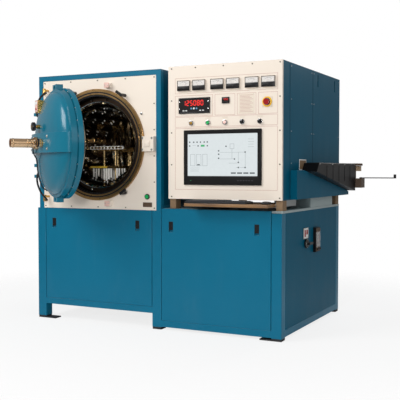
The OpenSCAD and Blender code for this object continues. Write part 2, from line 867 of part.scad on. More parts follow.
module cabinet_shell() color([0.08, 0.38, 0.48]) {
    y0 = y_front + tray_d;
    run = y_rear - y0;
    side_h = cab_h - 2 * sheet_t;
    z0 = cab_z + sheet_t;
    block([cab_x, y0, cab_z], [cab_w, run, sheet_t]);
    block([cab_x, y0, cab_top - sheet_t], [cab_w, run, sheet_t]);
    block([cab_x, y0, z0], [sheet_t, run, side_h]);
    block([x_right - sheet_t, y0, z0], [sheet_t, strip_d - tray_d, side_h]);
    block([x_right - sheet_t, y_front + strip_d + sheet_t, z0],
        [sheet_t, seam_d - strip_d - sheet_t, side_h]);
    difference() {
        block([x_right - sheet_t, y_front + seam_d + sheet_t, z0],
            [sheet_t, depth - seam_d - sheet_t, side_h]);
        for (d = slot_ds)
            block([x_right - sheet_t - cut, y_front + d - slot_w / 2, cab_z + slot_up],
                [sheet_t + 2 * cut, slot_w, slot_h]);
    }
    difference() {
        block([cab_x + sheet_t, y_rear - sheet_t, z0], [cab_w - 2 * sheet_t, sheet_t, side_h]);
        translate([x_right - gland_in, y_rear + cut, cab_z + gland_up]) to_front()
            cylinder(r = gland_r, h = sheet_t + 2 * cut);
    }
    for (x = [cab_x + sheet_t, x_right - sheet_t - cab_post_w],
        y = [y0, y_rear - sheet_t - cab_post_w])
        hollow_bar([x, y, z0], [cab_post_w, cab_post_w, side_h], 2);
}

// Places on the control panel, from the cabinet's left side and bottom

meter_gap_shares = [0.2954, 0.0747, 0.1530];
meter_side = meter_gap_shares[0] * (cab_w - 6 * meter_w);
meter_step = meter_w + meter_gap_shares[1] * (cab_w - 6 * meter_w);
meter_group = meter_step + meter_w + meter_gap_shares[2] * (cab_w - 6 * meter_w);
meter_t = 14;
meter_barrel_r = 30;
meter_barrel_l = 55;
controller_w = 256;
controller_h = 115;
controller_in = 219;
controller_t = 10;
controller_l = 90;
lip_w = 6;
limit_w = 59;
limit_h = 45;
limit_in = 473;
switch_in = 195;
stop_side = 113;
stop_in = cab_w - stop_side;
bezel_off = 7.5;
bezel_in = cab_w / 2 - bezel_off;
// Free height of the panel, and its shares under the bezel and over it to each row
free_h = cab_h - bezel_h - controller_h - meter_h;
row_gap_shares = [0.27, 0.135, 0.315, 0.45, 0.48, 0.48];
bezel_up = bezel_h / 2 + row_gap_shares[0] * free_h;
bezel_top = bezel_up + bezel_h / 2;
switch_up = bezel_top + row_gap_shares[1] * free_h;
controller_up = bezel_top + controller_h / 2 + row_gap_shares[2] * free_h;
meter_up = bezel_top + controller_h + meter_h / 2 + row_gap_shares[3] * free_h;
stop_up = bezel_top + row_gap_shares[4] * free_h;
limit_up = bezel_top + limit_h / 2 + row_gap_shares[5] * free_h;
bezel_t = 14;
case_t = 60;
screen_w = 556;
screen_h = 306;
screen_low = 66;
screen_t = 3;
screen_in = 5;
collar_r = 18;
collar_h = 8;
cap_r = 12;
cap_h = 11;
cap_proud = 5;
barrel_r = 15;
barrel_l = 14;
switch_block = 32;
switch_block_l = 40;
knob_r = 14;
knob_h = 7;
grip_w = 8;
grip_h = 12;
stem_r = 5;
press_stroke = 4;
stop_plate = 76;
stop_plate_t = 3;
stop_collar_r = 27;
stop_head_h = 14;
stop_stem_r = 9;
stop_stroke = 5;

function meter_x(i) = cab_x + meter_side + meter_w / 2 + floor(i / 2) * meter_group + (i % 2) * meter_step;
function switch_x(i) = cab_x + switch_in + i * switch_pitch;

module panel_cut(x, up, w, h) {
    block([cab_x + x - w / 2, y_front - cut, cab_z + up - h / 2], [w, sheet_t + 2 * cut, h]);
}

module panel_hole(x, up, radius) {
    translate([x, y_front - cut, cab_z + up]) to_rear()
        cylinder(r = radius, h = sheet_t + 2 * cut, $fn = fine);
}

module control_panel() color([0.93, 0.87, 0.80]) {
    difference() {
        translate([cab_x, y_front, cab_z]) tray([cab_w, tray_d, cab_h], sheet_t);
        for (i = [0:5]) panel_hole(meter_x(i), meter_up, meter_barrel_r + free_gap);
        for (i = [0:4]) panel_hole(switch_x(i), switch_up, barrel_r + free_gap);
        panel_hole(cab_x + stop_in, stop_up, barrel_r + free_gap);
        panel_cut(controller_in, controller_up, controller_w - lip_w, controller_h - lip_w);
        panel_cut(limit_in, limit_up, limit_w - lip_w, limit_h - lip_w);
        panel_cut(bezel_in, bezel_up, bezel_w - 4 * lip_w, bezel_h - 4 * lip_w);
    }
}

module meters() color([0.90, 0.90, 0.86]) {
    for (i = [0:5]) translate([meter_x(i), y_front, cab_z + meter_up]) {
        translate([-meter_w / 2, -meter_t, -meter_h / 2]) cube([meter_w, meter_t, meter_h]);
        to_rear() cylinder(r = meter_barrel_r, h = meter_barrel_l, $fn = fine);
    }
}

module instrument(x, up, w, h, front, length) {
    translate([cab_x + x, y_front, cab_z + up]) {
        translate([-w / 2, -front, -h / 2]) cube([w, front, h]);
        translate([-w / 2 + lip_w, 0, -h / 2 + lip_w])
            cube([w - 2 * lip_w, length, h - 2 * lip_w]);
    }
}

module temperature_controller() color([0.06, 0.05, 0.05]) {
    instrument(controller_in, controller_up, controller_w, controller_h, controller_t, controller_l);
    instrument(limit_in, limit_up, limit_w, limit_h, controller_t, controller_l);
}

module switch_body(x, up, bore) {
    translate([x, y_front, cab_z + up]) {
        difference() {
            union() {
                to_front() cylinder(r = collar_r, h = collar_h, $fn = fine);
                to_rear() cylinder(r = barrel_r, h = barrel_l, $fn = fine);
            }
            translate([0, -collar_h - cut, 0]) to_rear()
                cylinder(r = bore, h = collar_h + barrel_l + 2 * cut, $fn = fine);
        }
        translate([-switch_block / 2, barrel_l, -switch_block / 2])
            cube([switch_block, switch_block_l, switch_block]);
    }
}

module switch_collars() color([0.72, 0.72, 0.70]) {
    for (i = [0:4])
        switch_body(switch_x(i), switch_up, i == 1 ? cap_r + run_fit : i < 3 ? cap_r : stem_r + run_fit);
    // Two pilot lamps beside the start button
    for (i = [0, 2]) translate([switch_x(i), y_front - collar_h - cap_proud, cab_z + switch_up])
        to_rear() cylinder(r = cap_r + fit, h = collar_h + cap_proud + barrel_l, $fn = fine);
    translate([cab_x + stop_in, y_front, cab_z + stop_up]) difference() {
        union() {
            translate([-stop_plate / 2, -stop_plate_t, -stop_plate / 2])
                cube([stop_plate, stop_plate_t, stop_plate]);
            to_front() cylinder(r = stop_collar_r, h = collar_h);
            to_rear() cylinder(r = barrel_r, h = barrel_l + switch_block_l, $fn = fine);
        }
        translate([0, -collar_h - cut, 0]) to_rear()
            cylinder(r = stop_stem_r + run_fit, h = collar_h + cut + barrel_l + switch_block_l / 2,
                $fn = fine);
    }
}

module start_button() color([0.20, 0.75, 0.35]) {
    translate([switch_x(1), y_front - collar_h - cap_proud, cab_z + switch_up]) to_rear() {
        cylinder(r = cap_r, h = cap_h, $fn = fine);
        cylinder(r = stem_r, h = collar_h + cap_proud + barrel_l - press_stroke - free_gap,
            $fn = fine);
    }
}

module stop_button() color([0.75, 0.10, 0.08]) {
    head_y = y_front - collar_h - stop_stroke - free_gap;
    translate([cab_x + stop_in, head_y, cab_z + stop_up]) {
        to_front() cylinder(r = stop_r, h = stop_head_h);
        to_rear() cylinder(r = stop_stem_r,
            h = collar_h + barrel_l + switch_block_l / 2 - free_gap, $fn = fine);
    }
}

module selector(i) {
    translate([switch_x(i), y_front - collar_h, cab_z + switch_up]) {
        translate([0, -free_gap, 0]) to_front() {
            cylinder(r = knob_r, h = knob_h, $fn = fine);
            translate([-grip_w / 2, -knob_r, 0]) cube([grip_w, 2 * knob_r, knob_h + grip_h]);
        }
        translate([0, -free_gap - cut, 0]) to_rear()
            cylinder(r = stem_r, h = collar_h + barrel_l + cut, $fn = fine);
    }
}

module mode_selector() color([0.07, 0.07, 0.08]) selector(3);

module pump_selector() color([0.07, 0.07, 0.08]) selector(4);

module monitor_case() color([0.08, 0.07, 0.07]) {
    translate([cab_x + bezel_in, y_front, cab_z + bezel_up]) {
        difference() {
            translate([-bezel_w / 2, -bezel_t, -bezel_h / 2]) cube([bezel_w, bezel_t, bezel_h]);
            translate([-screen_w / 2, -bezel_t - cut, screen_low - bezel_h / 2])
                cube([screen_w, screen_in + screen_t + cut, screen_h]);
        }
        translate([-bezel_w / 2 + 3 * lip_w, 0, -bezel_h / 2 + 3 * lip_w])
            cube([bezel_w - 6 * lip_w, case_t, bezel_h - 6 * lip_w]);
    }
}

module monitor_screen() color([0.88, 0.94, 0.95]) {
    translate([cab_x + bezel_in - screen_w / 2 + fit, y_front - bezel_t + screen_in,
        cab_z + bezel_up + screen_low - bezel_h / 2 + fit])
        cube([screen_w - 2 * fit, screen_t, screen_h - 2 * fit]);
}

plate_side = 90;
plate_y = 260;
plate_low = 60;
part_row_shares = [0.14, 0.38, 0.62, 0.86];
part_shares = [0.10, 0.26, 0.42, 0.58, 0.74, 0.90];
part_w = 78;
part_d = 95;
part_h = 120;

// Mounting plate inside the cabinet with its rows of contactors and relays
module contactor_plate() color([0.70, 0.72, 0.72]) {
    w = cab_w - 2 * plate_side;
    h = cab_h - sheet_t - plate_low;
    translate([cab_x + plate_side, plate_y, cab_z + sheet_t]) {
        cube([w, sheet_t, h]);
        for (row = part_row_shares, share = part_shares)
            translate([share * w - part_w / 2, -part_d, row * h - part_h / 2])
                cube([part_w, part_d, part_h]);
    }
}

// Shelf with its slides and what stands on it

shelf_side = 55;
shelf_in = cab_w - shelf_w - shelf_side;
shelf_t = 24;
shelf_drop = 25;
slide_web = 2;
slide_lip = 14;
key_rows = 6;
key_row_shares = [[0.02, 0.62], [0.645, 0.125], [0.785, 0.195]];
keyboard_d = 138;
keyboard_t = 15;
key_h = 6;
key_gap = 4;
keyboard_back = 8;
mouse_w = 60;
mouse_l = 100;
mouse_h = 22;
mouse_in = 583;
mouse_back = 20;

shelf_x = cab_x + shelf_in;
shelf_top = cab_z - shelf_drop;
shelf_y = y_front - shelf_out;

module keyboard_shelf() color([0.45, 0.33, 0.20]) {
    block([shelf_x, shelf_y, shelf_top - shelf_t], [shelf_w, shelf_d, shelf_t]);
}

module shelf_slides() color([0.60, 0.62, 0.62]) {
    low = shelf_top - shelf_t - free_gap - slide_web;
    for (x = [shelf_x - free_gap - slide_web, shelf_x + shelf_w + free_gap])
        block([x, y_front + tray_d, low], [slide_web, shelf_d + tray_d, cab_z - low]);
    for (x = [shelf_x - free_gap, shelf_x + shelf_w + free_gap - slide_lip])
        block([x, y_front + tray_d, low], [slide_lip, shelf_d + tray_d, slide_web]);
}

module keyboard() color([0.07, 0.07, 0.08]) {
    pitch = (keyboard_d - 2 * key_gap) / key_rows;
    translate([shelf_x + fit, shelf_y + keyboard_back, shelf_top]) {
        cube([keyboard_w, keyboard_d, keyboard_t]);
        for (share = key_row_shares, i = [0:key_rows - 1])
            translate([share[0] * keyboard_w, key_gap + i * pitch + key_gap / 2, keyboard_t])
                cube([share[1] * keyboard_w, pitch - key_gap, key_h]);
    }
}

module mouse() color([0.06, 0.06, 0.07]) {
    translate([shelf_x + mouse_in, shelf_y + mouse_back, shelf_top]) hull() {
        for (x = [mouse_w / 3, 2 * mouse_w / 3], y = [mouse_w / 2, mouse_l - mouse_w / 2])
            translate([x, y, 0]) cylinder(r = mouse_w / 3, h = mouse_h / 2, $fn = fine);
        translate([mouse_w / 2, mouse_l / 2, mouse_h / 2]) scale([1, 1.6, 1])
            sphere(r = mouse_h / 2, $fn = fine);
    }
}

riser_w = 50;
riser_d = 80;
riser_in = 2;

module cabinet_risers() color([0.75, 0.62, 0.50]) {
    for (x = [cab_x + riser_in, x_right - riser_in - riser_w],
        y = [y_front + rail_back, y_rear - riser_d - riser_in])
        block([x, y, deck_z], [riser_w, riser_d, cab_gap]);
}

junction_w = 300;
junction_l = 560;
junction_d = 632;

module junction_box() color([0.60, 0.63, 0.63]) {
    block([x_right - riser_in - junction_w, y_front + junction_d, deck_z],
        [junction_w, junction_l, cab_gap]);
}

// Recorder on the cabinet's right side

cheek_d = 170;
cheek_flat = 160;
cheek_end = 1500;
cheek_low = 30;
cheek_t = 4;
case_d = 405;
case_w = 118;
case_out = 2;
case_top = 265;
case_slope_in = 55;
head_w = 170;
head_l = 110;
head_h = 80;
head_up = 60;
reel_r = 72;
reel_tube = 8;
reel_up = 262;
reel_disc_t = 12;
clamp_w = 14;
clamp_h = 105;
arm_w = 22;
arm_t = 8;
arm_post_r = 11;
arm_post_h = 34;
arm_hub_r = 16;
arm_pivot_r = 7;

cheek_up = 3;
cheek_z = cab_z + cheek_up;
slope_run = cheek_end - cheek_d - cheek_flat;
// Height of the bracket's sloping edge at a depth behind the front
function slope_z(d) = cheek_z + cheek_h
    - (cheek_h - cheek_low) * max(0, d - cheek_d - cheek_flat) / slope_run;

module cheek_plate(x, thick) {
    translate([x + thick, 0, 0]) rotate([0, -90, 0])
        linear_extrude(height = thick) polygon([
            [cheek_z, y_front + cheek_d],
            [cheek_z + cheek_h, y_front + cheek_d],
            [cheek_z + cheek_h, y_front + cheek_d + cheek_flat],
            [slope_z(cheek_end), y_front + cheek_end],
            [cheek_z, y_front + cheek_end]
        ]);
}

module recorder_bracket() color([0.09, 0.42, 0.55]) {
    outer = x_right + cheek_out - cheek_t;
    cheek_plate(outer, cheek_t);
    cheek_plate(x_right, cheek_t);
    // Front, bottom and shelf plates join the two cheeks
    web = cheek_out - 2 * cheek_t;
    block([x_right + cheek_t, y_front + cheek_d, cheek_z], [web, cheek_t, cheek_h]);
    block([x_right + cheek_t, y_front + cheek_d + cheek_t, cheek_z],
        [web, cheek_end - cheek_d - cheek_t, cheek_t]);
}

module recorder_case() color([0.05, 0.05, 0.06]) {
    d1 = case_d + case_slope_in;
    d2 = case_d + case_l;
    top = cheek_z + case_top;
    translate([x_right + case_out + case_w, 0, 0]) rotate([0, -90, 0])
        linear_extrude(height = case_w) polygon([
            [slope_z(case_d) + fit, y_front + case_d],
            [top, y_front + d1],
            [top, y_front + d2],
            [slope_z(d2) + fit, y_front + d2]
        ]);
}

head_y = y_front + case_d + case_l;
head_x = x_right + case_out;
arm_x = head_x + head_w - arm_hub_r;
arm_y = head_y + head_l / 2;

module recorder_head() color([0.30, 0.26, 0.22]) {
    low = cheek_z + head_up;
    block([head_x, head_y, low], [head_w, head_l, head_h]);
    reel_x = head_x + head_w / 2;
    reel_y = head_y + reel_r + arm_hub_r / 2;
    translate([reel_x, reel_y, low + head_h]) {
        cylinder(r = clamp_w, h = reel_up - head_up - head_h, $fn = fine);
        translate([0, 0, reel_up - head_up - head_h - reel_disc_t])
            cylinder(r = reel_r, h = reel_disc_t);
        translate([0, 0, reel_up - head_up - head_h]) rotate_extrude()
            translate([reel_r - reel_tube, 0]) circle(r = reel_tube, $fn = fine);
    }
    for (x = [head_x + fit, head_x + head_w - 4 * arm_hub_r])
        block([x, head_y + fit, low + head_h], [clamp_w, clamp_w, clamp_h]);
    // Fixed pivot for the arm
    translate([arm_x, arm_y, low + head_h])
        cylinder(r = arm_pivot_r, h = arm_t + 4 * free_gap, $fn = fine);
}

module recorder_arm() color([0.12, 0.12, 0.13]) {
    z = cheek_z + head_up + head_h + free_gap;
    translate([arm_x, arm_y, z]) difference() {
        union() {
            cylinder(r = arm_hub_r, h = arm_t, $fn = fine);
            translate([0, -arm_w / 2, 0]) cube([arm_l - arm_post_r, arm_w, arm_t]);
            translate([arm_l - arm_post_r, 0, 0]) cylinder(r = arm_post_r, h = arm_post_h, $fn = fine);
        }
        translate([0, 0, -cut]) cylinder(r = arm_pivot_r + run_fit, h = arm_t + 2 * cut, $fn = fine);
    }
}

// Disconnect switch and flow meter on the base's right side

plate_d = 452;
plate_up = 691;
plate_l = 110;
plate_h = 82;
plate_t = 4;
rotary_d = 508;
rotary_up = 655;
rotary_r = 34;
rotary_t = 16;
flow_d = 690;
flow_up = 573;
flow_l = 105;
flow_h = 191;
flow_t = 22;
lever_w = 18;
lever_l = 84;
lever_t = 22;

module disconnect_box() color([0.12, 0.12, 0.13]) {
    block([x_right, y_front + plate_d, plate_up], [plate_t, plate_l, plate_h]);
    block([x_right, y_front + flow_d, flow_up], [flow_t, flow_l, flow_h]);
    translate([x_right, y_front + rotary_d, rotary_up]) to_right() difference() {
        cylinder(r = rotary_r, h = rotary_t);
        translate([0, 0, plate_t]) cylinder(r = stem_r + run_fit, h = rotary_t, $fn = fine);
    }
}

module disconnect_handle() color([0.75, 0.78, 0.80]) {
    translate([x_right + rotary_t + free_gap, y_front + rotary_d, rotary_up]) {
        to_right() cylinder(r = rotary_r - tube_wall, h = tube_wall);
        translate([tube_wall, -lever_l / 4, -lever_w / 2]) cube([lever_t, lever_l, lever_w]);
        translate([-rotary_t + plate_t + free_gap, 0, 0]) to_right()
            cylinder(r = stem_r, h = rotary_t - plate_t, $fn = fine);
    }
}

// Lift-off front covers with their slide latches

latch_w = 44;
latch_h = 86;
latch_wall = 4;
latch_down = 120;
latch_up = base_h - latch_down;
left_latch_ins = [64, 110];
right_latch_ins = [62, 90];
paddle_h = 62;
paddle_t = 10;

function latch_xs(bay, ins) = [bay[0] + ins[0] + latch_w / 2, bay[1] - ins[1] - latch_w / 2];

module front_cover(bay, ins, top) {
    z = bay[2] + rail_h + free_gap;
    difference() {
        translate([bay[0] + cover_gap, y_front, z])
            tray([bay[1] - bay[0] - 2 * cover_gap, cover_t, top - z], sheet_t);
        for (x = latch_xs(bay, ins))
            block([x - latch_w / 2, y_front - cut, latch_up - latch_h / 2],
                [latch_w, cover_t, latch_h]);
    }
    // Latch cups set into the cover
    for (x = latch_xs(bay, ins)) translate([x - latch_w / 2, y_front, latch_up - latch_h / 2])
        difference() {
            cube([latch_w, cover_t - cut, latch_h]);
            translate([latch_wall, -cut, latch_wall])
                cube([latch_w - 2 * latch_wall, cover_t - latch_wall, latch_h - 2 * latch_wall]);
        }
}

module left_front_panel() color([0.08, 0.43, 0.54])
    front_cover(bays[0], left_latch_ins, base_h);

module right_front_panel() color([0.08, 0.43, 0.54])
    front_cover(bays[1], right_latch_ins, deck_z);

module latch_paddles(bay, ins) {
    w = latch_w - 2 * latch_wall - 2 * free_gap;
    low = latch_up + latch_h / 2 - latch_wall - free_gap - paddle_h;
    for (x = latch_xs(bay, ins))
        block([x - w / 2, y_front + free_gap + cut, low], [w, paddle_t, paddle_h]);
}

module left_panel_latches() color([0.05, 0.05, 0.06]) latch_paddles(bays[0], left_latch_ins);

module right_panel_latches() color([0.05, 0.05, 0.06]) latch_paddles(bays[1], right_latch_ins);

// Chamber door, drawn closed about its own centre and then swung open

rim_gap = 2;
door_y = face_y - rim_gap;
hinge_ups = [-205, 205];
knuckle_r = 22;
knuckle_h = 60;
lug_h = 26;
web_w = 38;
web_t = 12;
door_groove = 8;
door_step = 20;
lug_w = 90;
lug_out = 25;
lug_hole_r = 16;
port_r = 30;
port_t = 34;
port_in = 105;

// Puts a closed-door shape, drawn with +Z outwards and +Y up, at the open door
module on_door() {
    translate([hinge_x, hinge_y, 0]) rotate([0, 0, -door_open]) translate([-hinge_x, -hinge_y, 0])
        translate([chamber_x, door_y, chamber_z]) to_front() children();
}

dish_r = skirt_r - door_step;
dish_rise = door_depth - skirt_t;
tube_hole_r = port_tube_r + fit;

function dish_arc(radius, base, rise) = [
    for (k = [0:arc_steps])
        let (a = k / arc_steps * acos(tube_hole_r / radius))
        [radius * cos(a), base + rise * sin(a)]
];

module door_outline() {
    in_r = dish_r - head_wall;
    polygon(concat(
        [[tube_hole_r, 0], [door_r, 0], [door_r, door_flange_t],
            [skirt_r - door_groove, door_flange_t], [skirt_r - door_groove, door_flange_t + door_groove],
            [skirt_r, door_flange_t + door_groove], [skirt_r, skirt_t], [dish_r, skirt_t]],
        dish_arc(dish_r, skirt_t, dish_rise),
        turned_round(dish_arc(in_r, skirt_t, dish_rise - head_wall)),
        [[in_r, head_wall], [tube_hole_r, head_wall]]
    ));
}

module door_head() color([0.10, 0.43, 0.55]) {
    on_door() rotate_extrude() door_outline();
    // Lifting lugs at the top and bottom of the flange
    on_door() for (side = [-1, 1]) difference() {
        translate([-lug_w / 2, side > 0 ? 0 : -door_r - lug_out, door_flange_t])
            cube([lug_w, door_r + lug_out, skirt_t - door_flange_t]);
        cylinder(r = skirt_r + fit, h = door_depth);
        translate([0, side * (door_r + cut), 0]) cylinder(r = lug_hole_r, h = door_depth);
    }
}

shield_r = 306;
shield_t = 3;
shield_step = 11;
shield_count = 4;
shield_post_r = 6;
shield_post_ring = 240;

module door_shields() color([0.78, 0.76, 0.72]) {
    on_door() {
        for (k = [1:shield_count])
            translate([0, 0, -k * shield_step]) ring(shield_r, tube_hole_r, shield_t);
        for (i = [0:5], k = [1:shield_count])
            rotate(i * 60) translate([shield_post_ring, 0, -k * shield_step + shield_t])
                cylinder(r = shield_post_r, h = shield_step - shield_t, $fn = fine);
    }
}

beam_t = 150;

// Beam across the dish, and the two hinge arms with their knuckles
module door_beam() color([0.10, 0.42, 0.53]) {
    on_door() {
        difference() {
            translate([-skirt_r, -beam_h / 2, skirt_t]) cube([2 * skirt_r, beam_h, beam_t]);
            rotate_extrude() polygon(concat([[0, 0], [dish_r + fit, 0]],
                dome(dish_r + fit, skirt_t, dish_rise + fit)));
            cylinder(r = tube_hole_r, h = port_tube_end);
            // The beam's outer face follows the dish at a constant height
            rotate([90, 0, 0]) translate([0, 0, -beam_h])
                linear_extrude(height = 2 * beam_h) polygon(beam_waste());
        }
        hinge_arm = chamber_x - hinge_x;
        axis_t = hinge_out - flange_proud - rim_gap;
        for (up = hinge_ups) difference() {
            union() {
                translate([-hinge_arm, up - knuckle_h / 2, axis_t - knuckle_r])
                    cube([hinge_arm - skirt_r / 2, knuckle_h, 2 * knuckle_r]);
                translate([-hinge_arm, up - knuckle_h / 2, axis_t]) rotate([-90, 0, 0])
                    cylinder(r = knuckle_r, h = knuckle_h);
            }
            translate([0, 0, -cut]) cylinder(r = door_r + fit, h = door_depth);
            translate([-hinge_arm, up - knuckle_h, axis_t]) rotate([-90, 0, 0])
                cylinder(r = pin_r + run_fit, h = 2 * knuckle_h);
        }
    }
}

beam_over = 26;
// Region outside the beam's curved outer face, in the plane across the door
function beam_waste() = concat(
    [[-2 * skirt_r, skirt_t], [-skirt_r - cut, skirt_t]],
    [for (k = [0:2 * arc_steps])
        let (a = 180 - 180 * k / (2 * arc_steps))
        [(skirt_r - cut) * cos(a), skirt_t + (dish_rise + beam_over) * sin(a)]],
    [[skirt_r + cut, skirt_t], [2 * skirt_r, skirt_t], [2 * skirt_r, 2 * port_tube_end],
        [-2 * skirt_r, 2 * port_tube_end]]
);

module hinge_brackets() color([0.10, 0.40, 0.50]) {
    for (up = hinge_ups) translate([0, 0, chamber_z + up]) {
        reach = hinge_x - furn_x - cut;
        for (z = [-knuckle_h / 2 - free_gap - lug_h, knuckle_h / 2 + free_gap]) {
            difference() {
                union() {
                    block([furn_x + cut, hinge_y - knuckle_r, z],
                        [reach, hinge_out + knuckle_r - web_t, lug_h]);
                    translate([hinge_x, hinge_y, z]) cylinder(r = knuckle_r, h = lug_h);
                }
                translate([hinge_x, hinge_y, z - cut]) cylinder(r = pin_r, h = lug_h + 2 * cut);
            }
        }
        block([furn_x + cut, y_front - web_t, -knuckle_h / 2 - free_gap - lug_h],
            [web_w, web_t, knuckle_h + 2 * free_gap + 2 * lug_h]);
        translate([hinge_x, hinge_y, -knuckle_h / 2 - free_gap - lug_h])
            cylinder(r = pin_r, h = knuckle_h + 2 * free_gap + 2 * lug_h);
    }
}

tube_bore_r = 27;
tube_collar_r = 46;
tube_collar_t = 22;

module door_port_tube() color([0.80, 0.58, 0.35]) {
    on_door() {
        difference() {
            union() {
                cylinder(r = port_tube_r, h = port_tube_end);
                translate([0, 0, door_depth + beam_over]) cylinder(r = tube_collar_r, h = tube_collar_t);
            }
            translate([0, 0, -cut]) cylinder(r = tube_bore_r, h = port_tube_end + 2 * cut);
        }
    }
}

knob_a = -40;
knob_b = 125;
stem_top = 226;
valve_knob_r = 33;
valve_knob_t = 28;
valve_seat_r = 15;

module door_knob() color([0.10, 0.10, 0.11]) {
    on_door() translate([knob_a, knob_b, 0]) {
        translate([0, 0, stem_top]) cylinder(r = valve_knob_r, h = valve_knob_t);
        translate([0, 0, stem_top - tube_collar_t]) cylinder(r = stem_r, h = tube_collar_t + cut);
    }
}

box_a = -120;
box_b = 280;
flow_box = [70, 95, 44];
box_seat = 150;
hose_r = 8;

module door_fittings() color([0.78, 0.62, 0.35]) {
    on_door() {
        // Seats that stand on the dish: valve stem guide, sight port, switch box
        difference() {
            union() {
                translate([knob_a, knob_b, skirt_t])
                    cylinder(r = valve_seat_r, h = stem_top - tube_collar_t / 2 - skirt_t, $fn = fine);
                translate([port_in, 0, skirt_t])
                    cylinder(r = port_r, h = door_depth + beam_over + port_t - skirt_t);
                translate([box_a - flow_box.x / 2, box_b - flow_box.y / 2, skirt_t])
                    cube([flow_box.x, flow_box.y, box_seat - skirt_t + flow_box.z]);
            }
            rotate_extrude() polygon(concat([[0, 0], [dish_r + fit, 0]],
                dome(dish_r + fit, skirt_t, dish_rise + fit)));
            rotate([90, 0, 0]) translate([0, 0, -beam_h / 2 - fit])
                linear_extrude(height = beam_h + 2 * fit) polygon(beam_body());
            translate([knob_a, knob_b, stem_top - tube_collar_t - cut])
                cylinder(r = stem_r + run_fit, h = tube_collar_t + 2 * cut, $fn = fine);
        }
    }
    // Moving halves of the hose swivels
    translate([hinge_x, hinge_y, 0]) rotate([0, 0, -door_open])
        for (up = swivel_ups) translate([0, 0, base_h + up - fit - swivel_h]) {
            cylinder(r = swivel_r, h = swivel_h, $fn = fine);
            translate([0, 0, swivel_h / 2]) to_right()
                cylinder(r = stub_r, h = swivel_r + 2 * stub_r, $fn = fine);
        }
}

// Beam section that the port's seat stands on
function beam_body() = concat([[-skirt_r, 0]],
    [for (k = [0:2 * arc_steps])
        let (a = 180 - 180 * k / (2 * arc_steps))
        [(skirt_r - cut + fit) * cos(a), skirt_t + (dish_rise + beam_over + fit) * sin(a)]],
    [[skirt_r, 0]]);

// Hose routes beside the closed door: across, up and out of the rim plane
hose_top = [[-438.4, 416.7, 33], [-405, 416, 34], [-370, 405, 58], [-348, 370, 100],
    [-340, 310, 128], [-335, 255, 134], [-332, 224, 126], [-332, 214, 112], [-332, 213, 100]];
hose_low = [[-438.4, -438.3, 33], [-405, -437, 34], [-370, -420, 58], [-348, -375, 100],
    [-340, -310, 128], [-335, -255, 134], [-332, -224, 126], [-332, -214, 112], [-332, -213, 100]];
hose_barb_r = 9.3;
hose_barb_h = 22;
cable_r = 5;
cable_route = [[-41.2, -23.8, 237], [-56, -38, 238], [-70, -62, 236], [-80, -88, 223],
    [-92, -120, 203], [-105, -165, 196], [-120, -210, 187], [-140, -265, 171], [-160, -310, 150],
    [-172, -340, 130], [-178, -352, 100]];
cable_gland_r = 9.3;
cable_gland_h = 16;
cable_gland = [-178, -352];

module door_hoses() color([0.06, 0.06, 0.06]) {
    on_door() {
        for (route = [hose_top, hose_low]) {
            swept_tube(smooth(route, 3), hose_r, 8);
            translate([route[8].x, route[8].y, skirt_t])
                cylinder(r = hose_barb_r, h = hose_barb_h, $fn = fine);
        }
        swept_tube(smooth(cable_route, 3), cable_r, 8);
        translate([cable_gland.x, cable_gland.y, skirt_t])
            cylinder(r = cable_gland_r, h = cable_gland_h, $fn = fine);
    }
}

// Clamp dogs round the flange, each a hub with a finger on its end

dog_ring = 458;
dog_hub_r = 12;
dog_out = 56;
dog_finger_t = 13;
dog_finger_l = 62;
dog_finger_w = 20;

module clamp_dog(angle) {
    translate([chamber_x + dog_ring * cos(angle), y_front + front_in, chamber_z + dog_ring * sin(angle)])
        rotate([0, -angle, 0]) {
            to_front() cylinder(r = dog_hub_r, h = front_in + dog_out, $fn = fine);
            // The finger stands along the flange's edge, clear of the door
            translate([-dog_finger_w / 2, -front_in - dog_out - dog_finger_t, -dog_hub_r])
                cube([dog_finger_w, dog_finger_t, dog_finger_l]);
        }
}

dog_angles = [116, 55, -55];

module clamp_dog_upper_left() color([0.06, 0.06, 0.07]) clamp_dog(dog_angles[0]);

module clamp_dog_upper_right() color([0.06, 0.06, 0.07]) clamp_dog(dog_angles[1]);

module clamp_dog_lower_right() color([0.06, 0.06, 0.07]) clamp_dog(dog_angles[2]);

base_frame();
base_feet();
base_skins();
base_deck();
furnace_frame();
furnace_skins();
furnace_front_panel();
panel_screws();
chamber_shell();
chamber_flange();
flange_o_ring();
hot_zone_shields();
heating_elements();
hearth();
power_feedthroughs();
power_transformer();
diffusion_pump();
high_vacuum_valve();
roughing_pump();
vacuum_piping();
cooling_manifold();
cabinet_shell();
control_panel();
contactor_plate();
meters();
temperature_controller();
switch_collars();
monitor_case();
monitor_screen();
shelf_slides();
cabinet_risers();
junction_box();
recorder_bracket();
recorder_case();
recorder_head();
recorder_arm();
disconnect_box();
disconnect_handle();
hinge_brackets();
left_front_panel();
right_front_panel();
left_panel_latches();
right_panel_latches();
keyboard_shelf();
keyboard();
mouse();
stop_button();
start_button();
mode_selector();
pump_selector();
door_head();
door_shields();
door_beam();
door_port_tube();
door_knob();
door_fittings();
door_hoses();
clamp_dog_upper_left();
clamp_dog_upper_right();
clamp_dog_lower_right();
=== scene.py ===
"""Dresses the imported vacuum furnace: camera, light, finishes and the detail that the CAD leaves plain."""

import json
import logging
import math
from dataclasses import dataclass
from enum import Enum
from itertools import product
from typing import Any, Iterable, Sequence

import bmesh
import bpy
from mathutils import Matrix, Vector

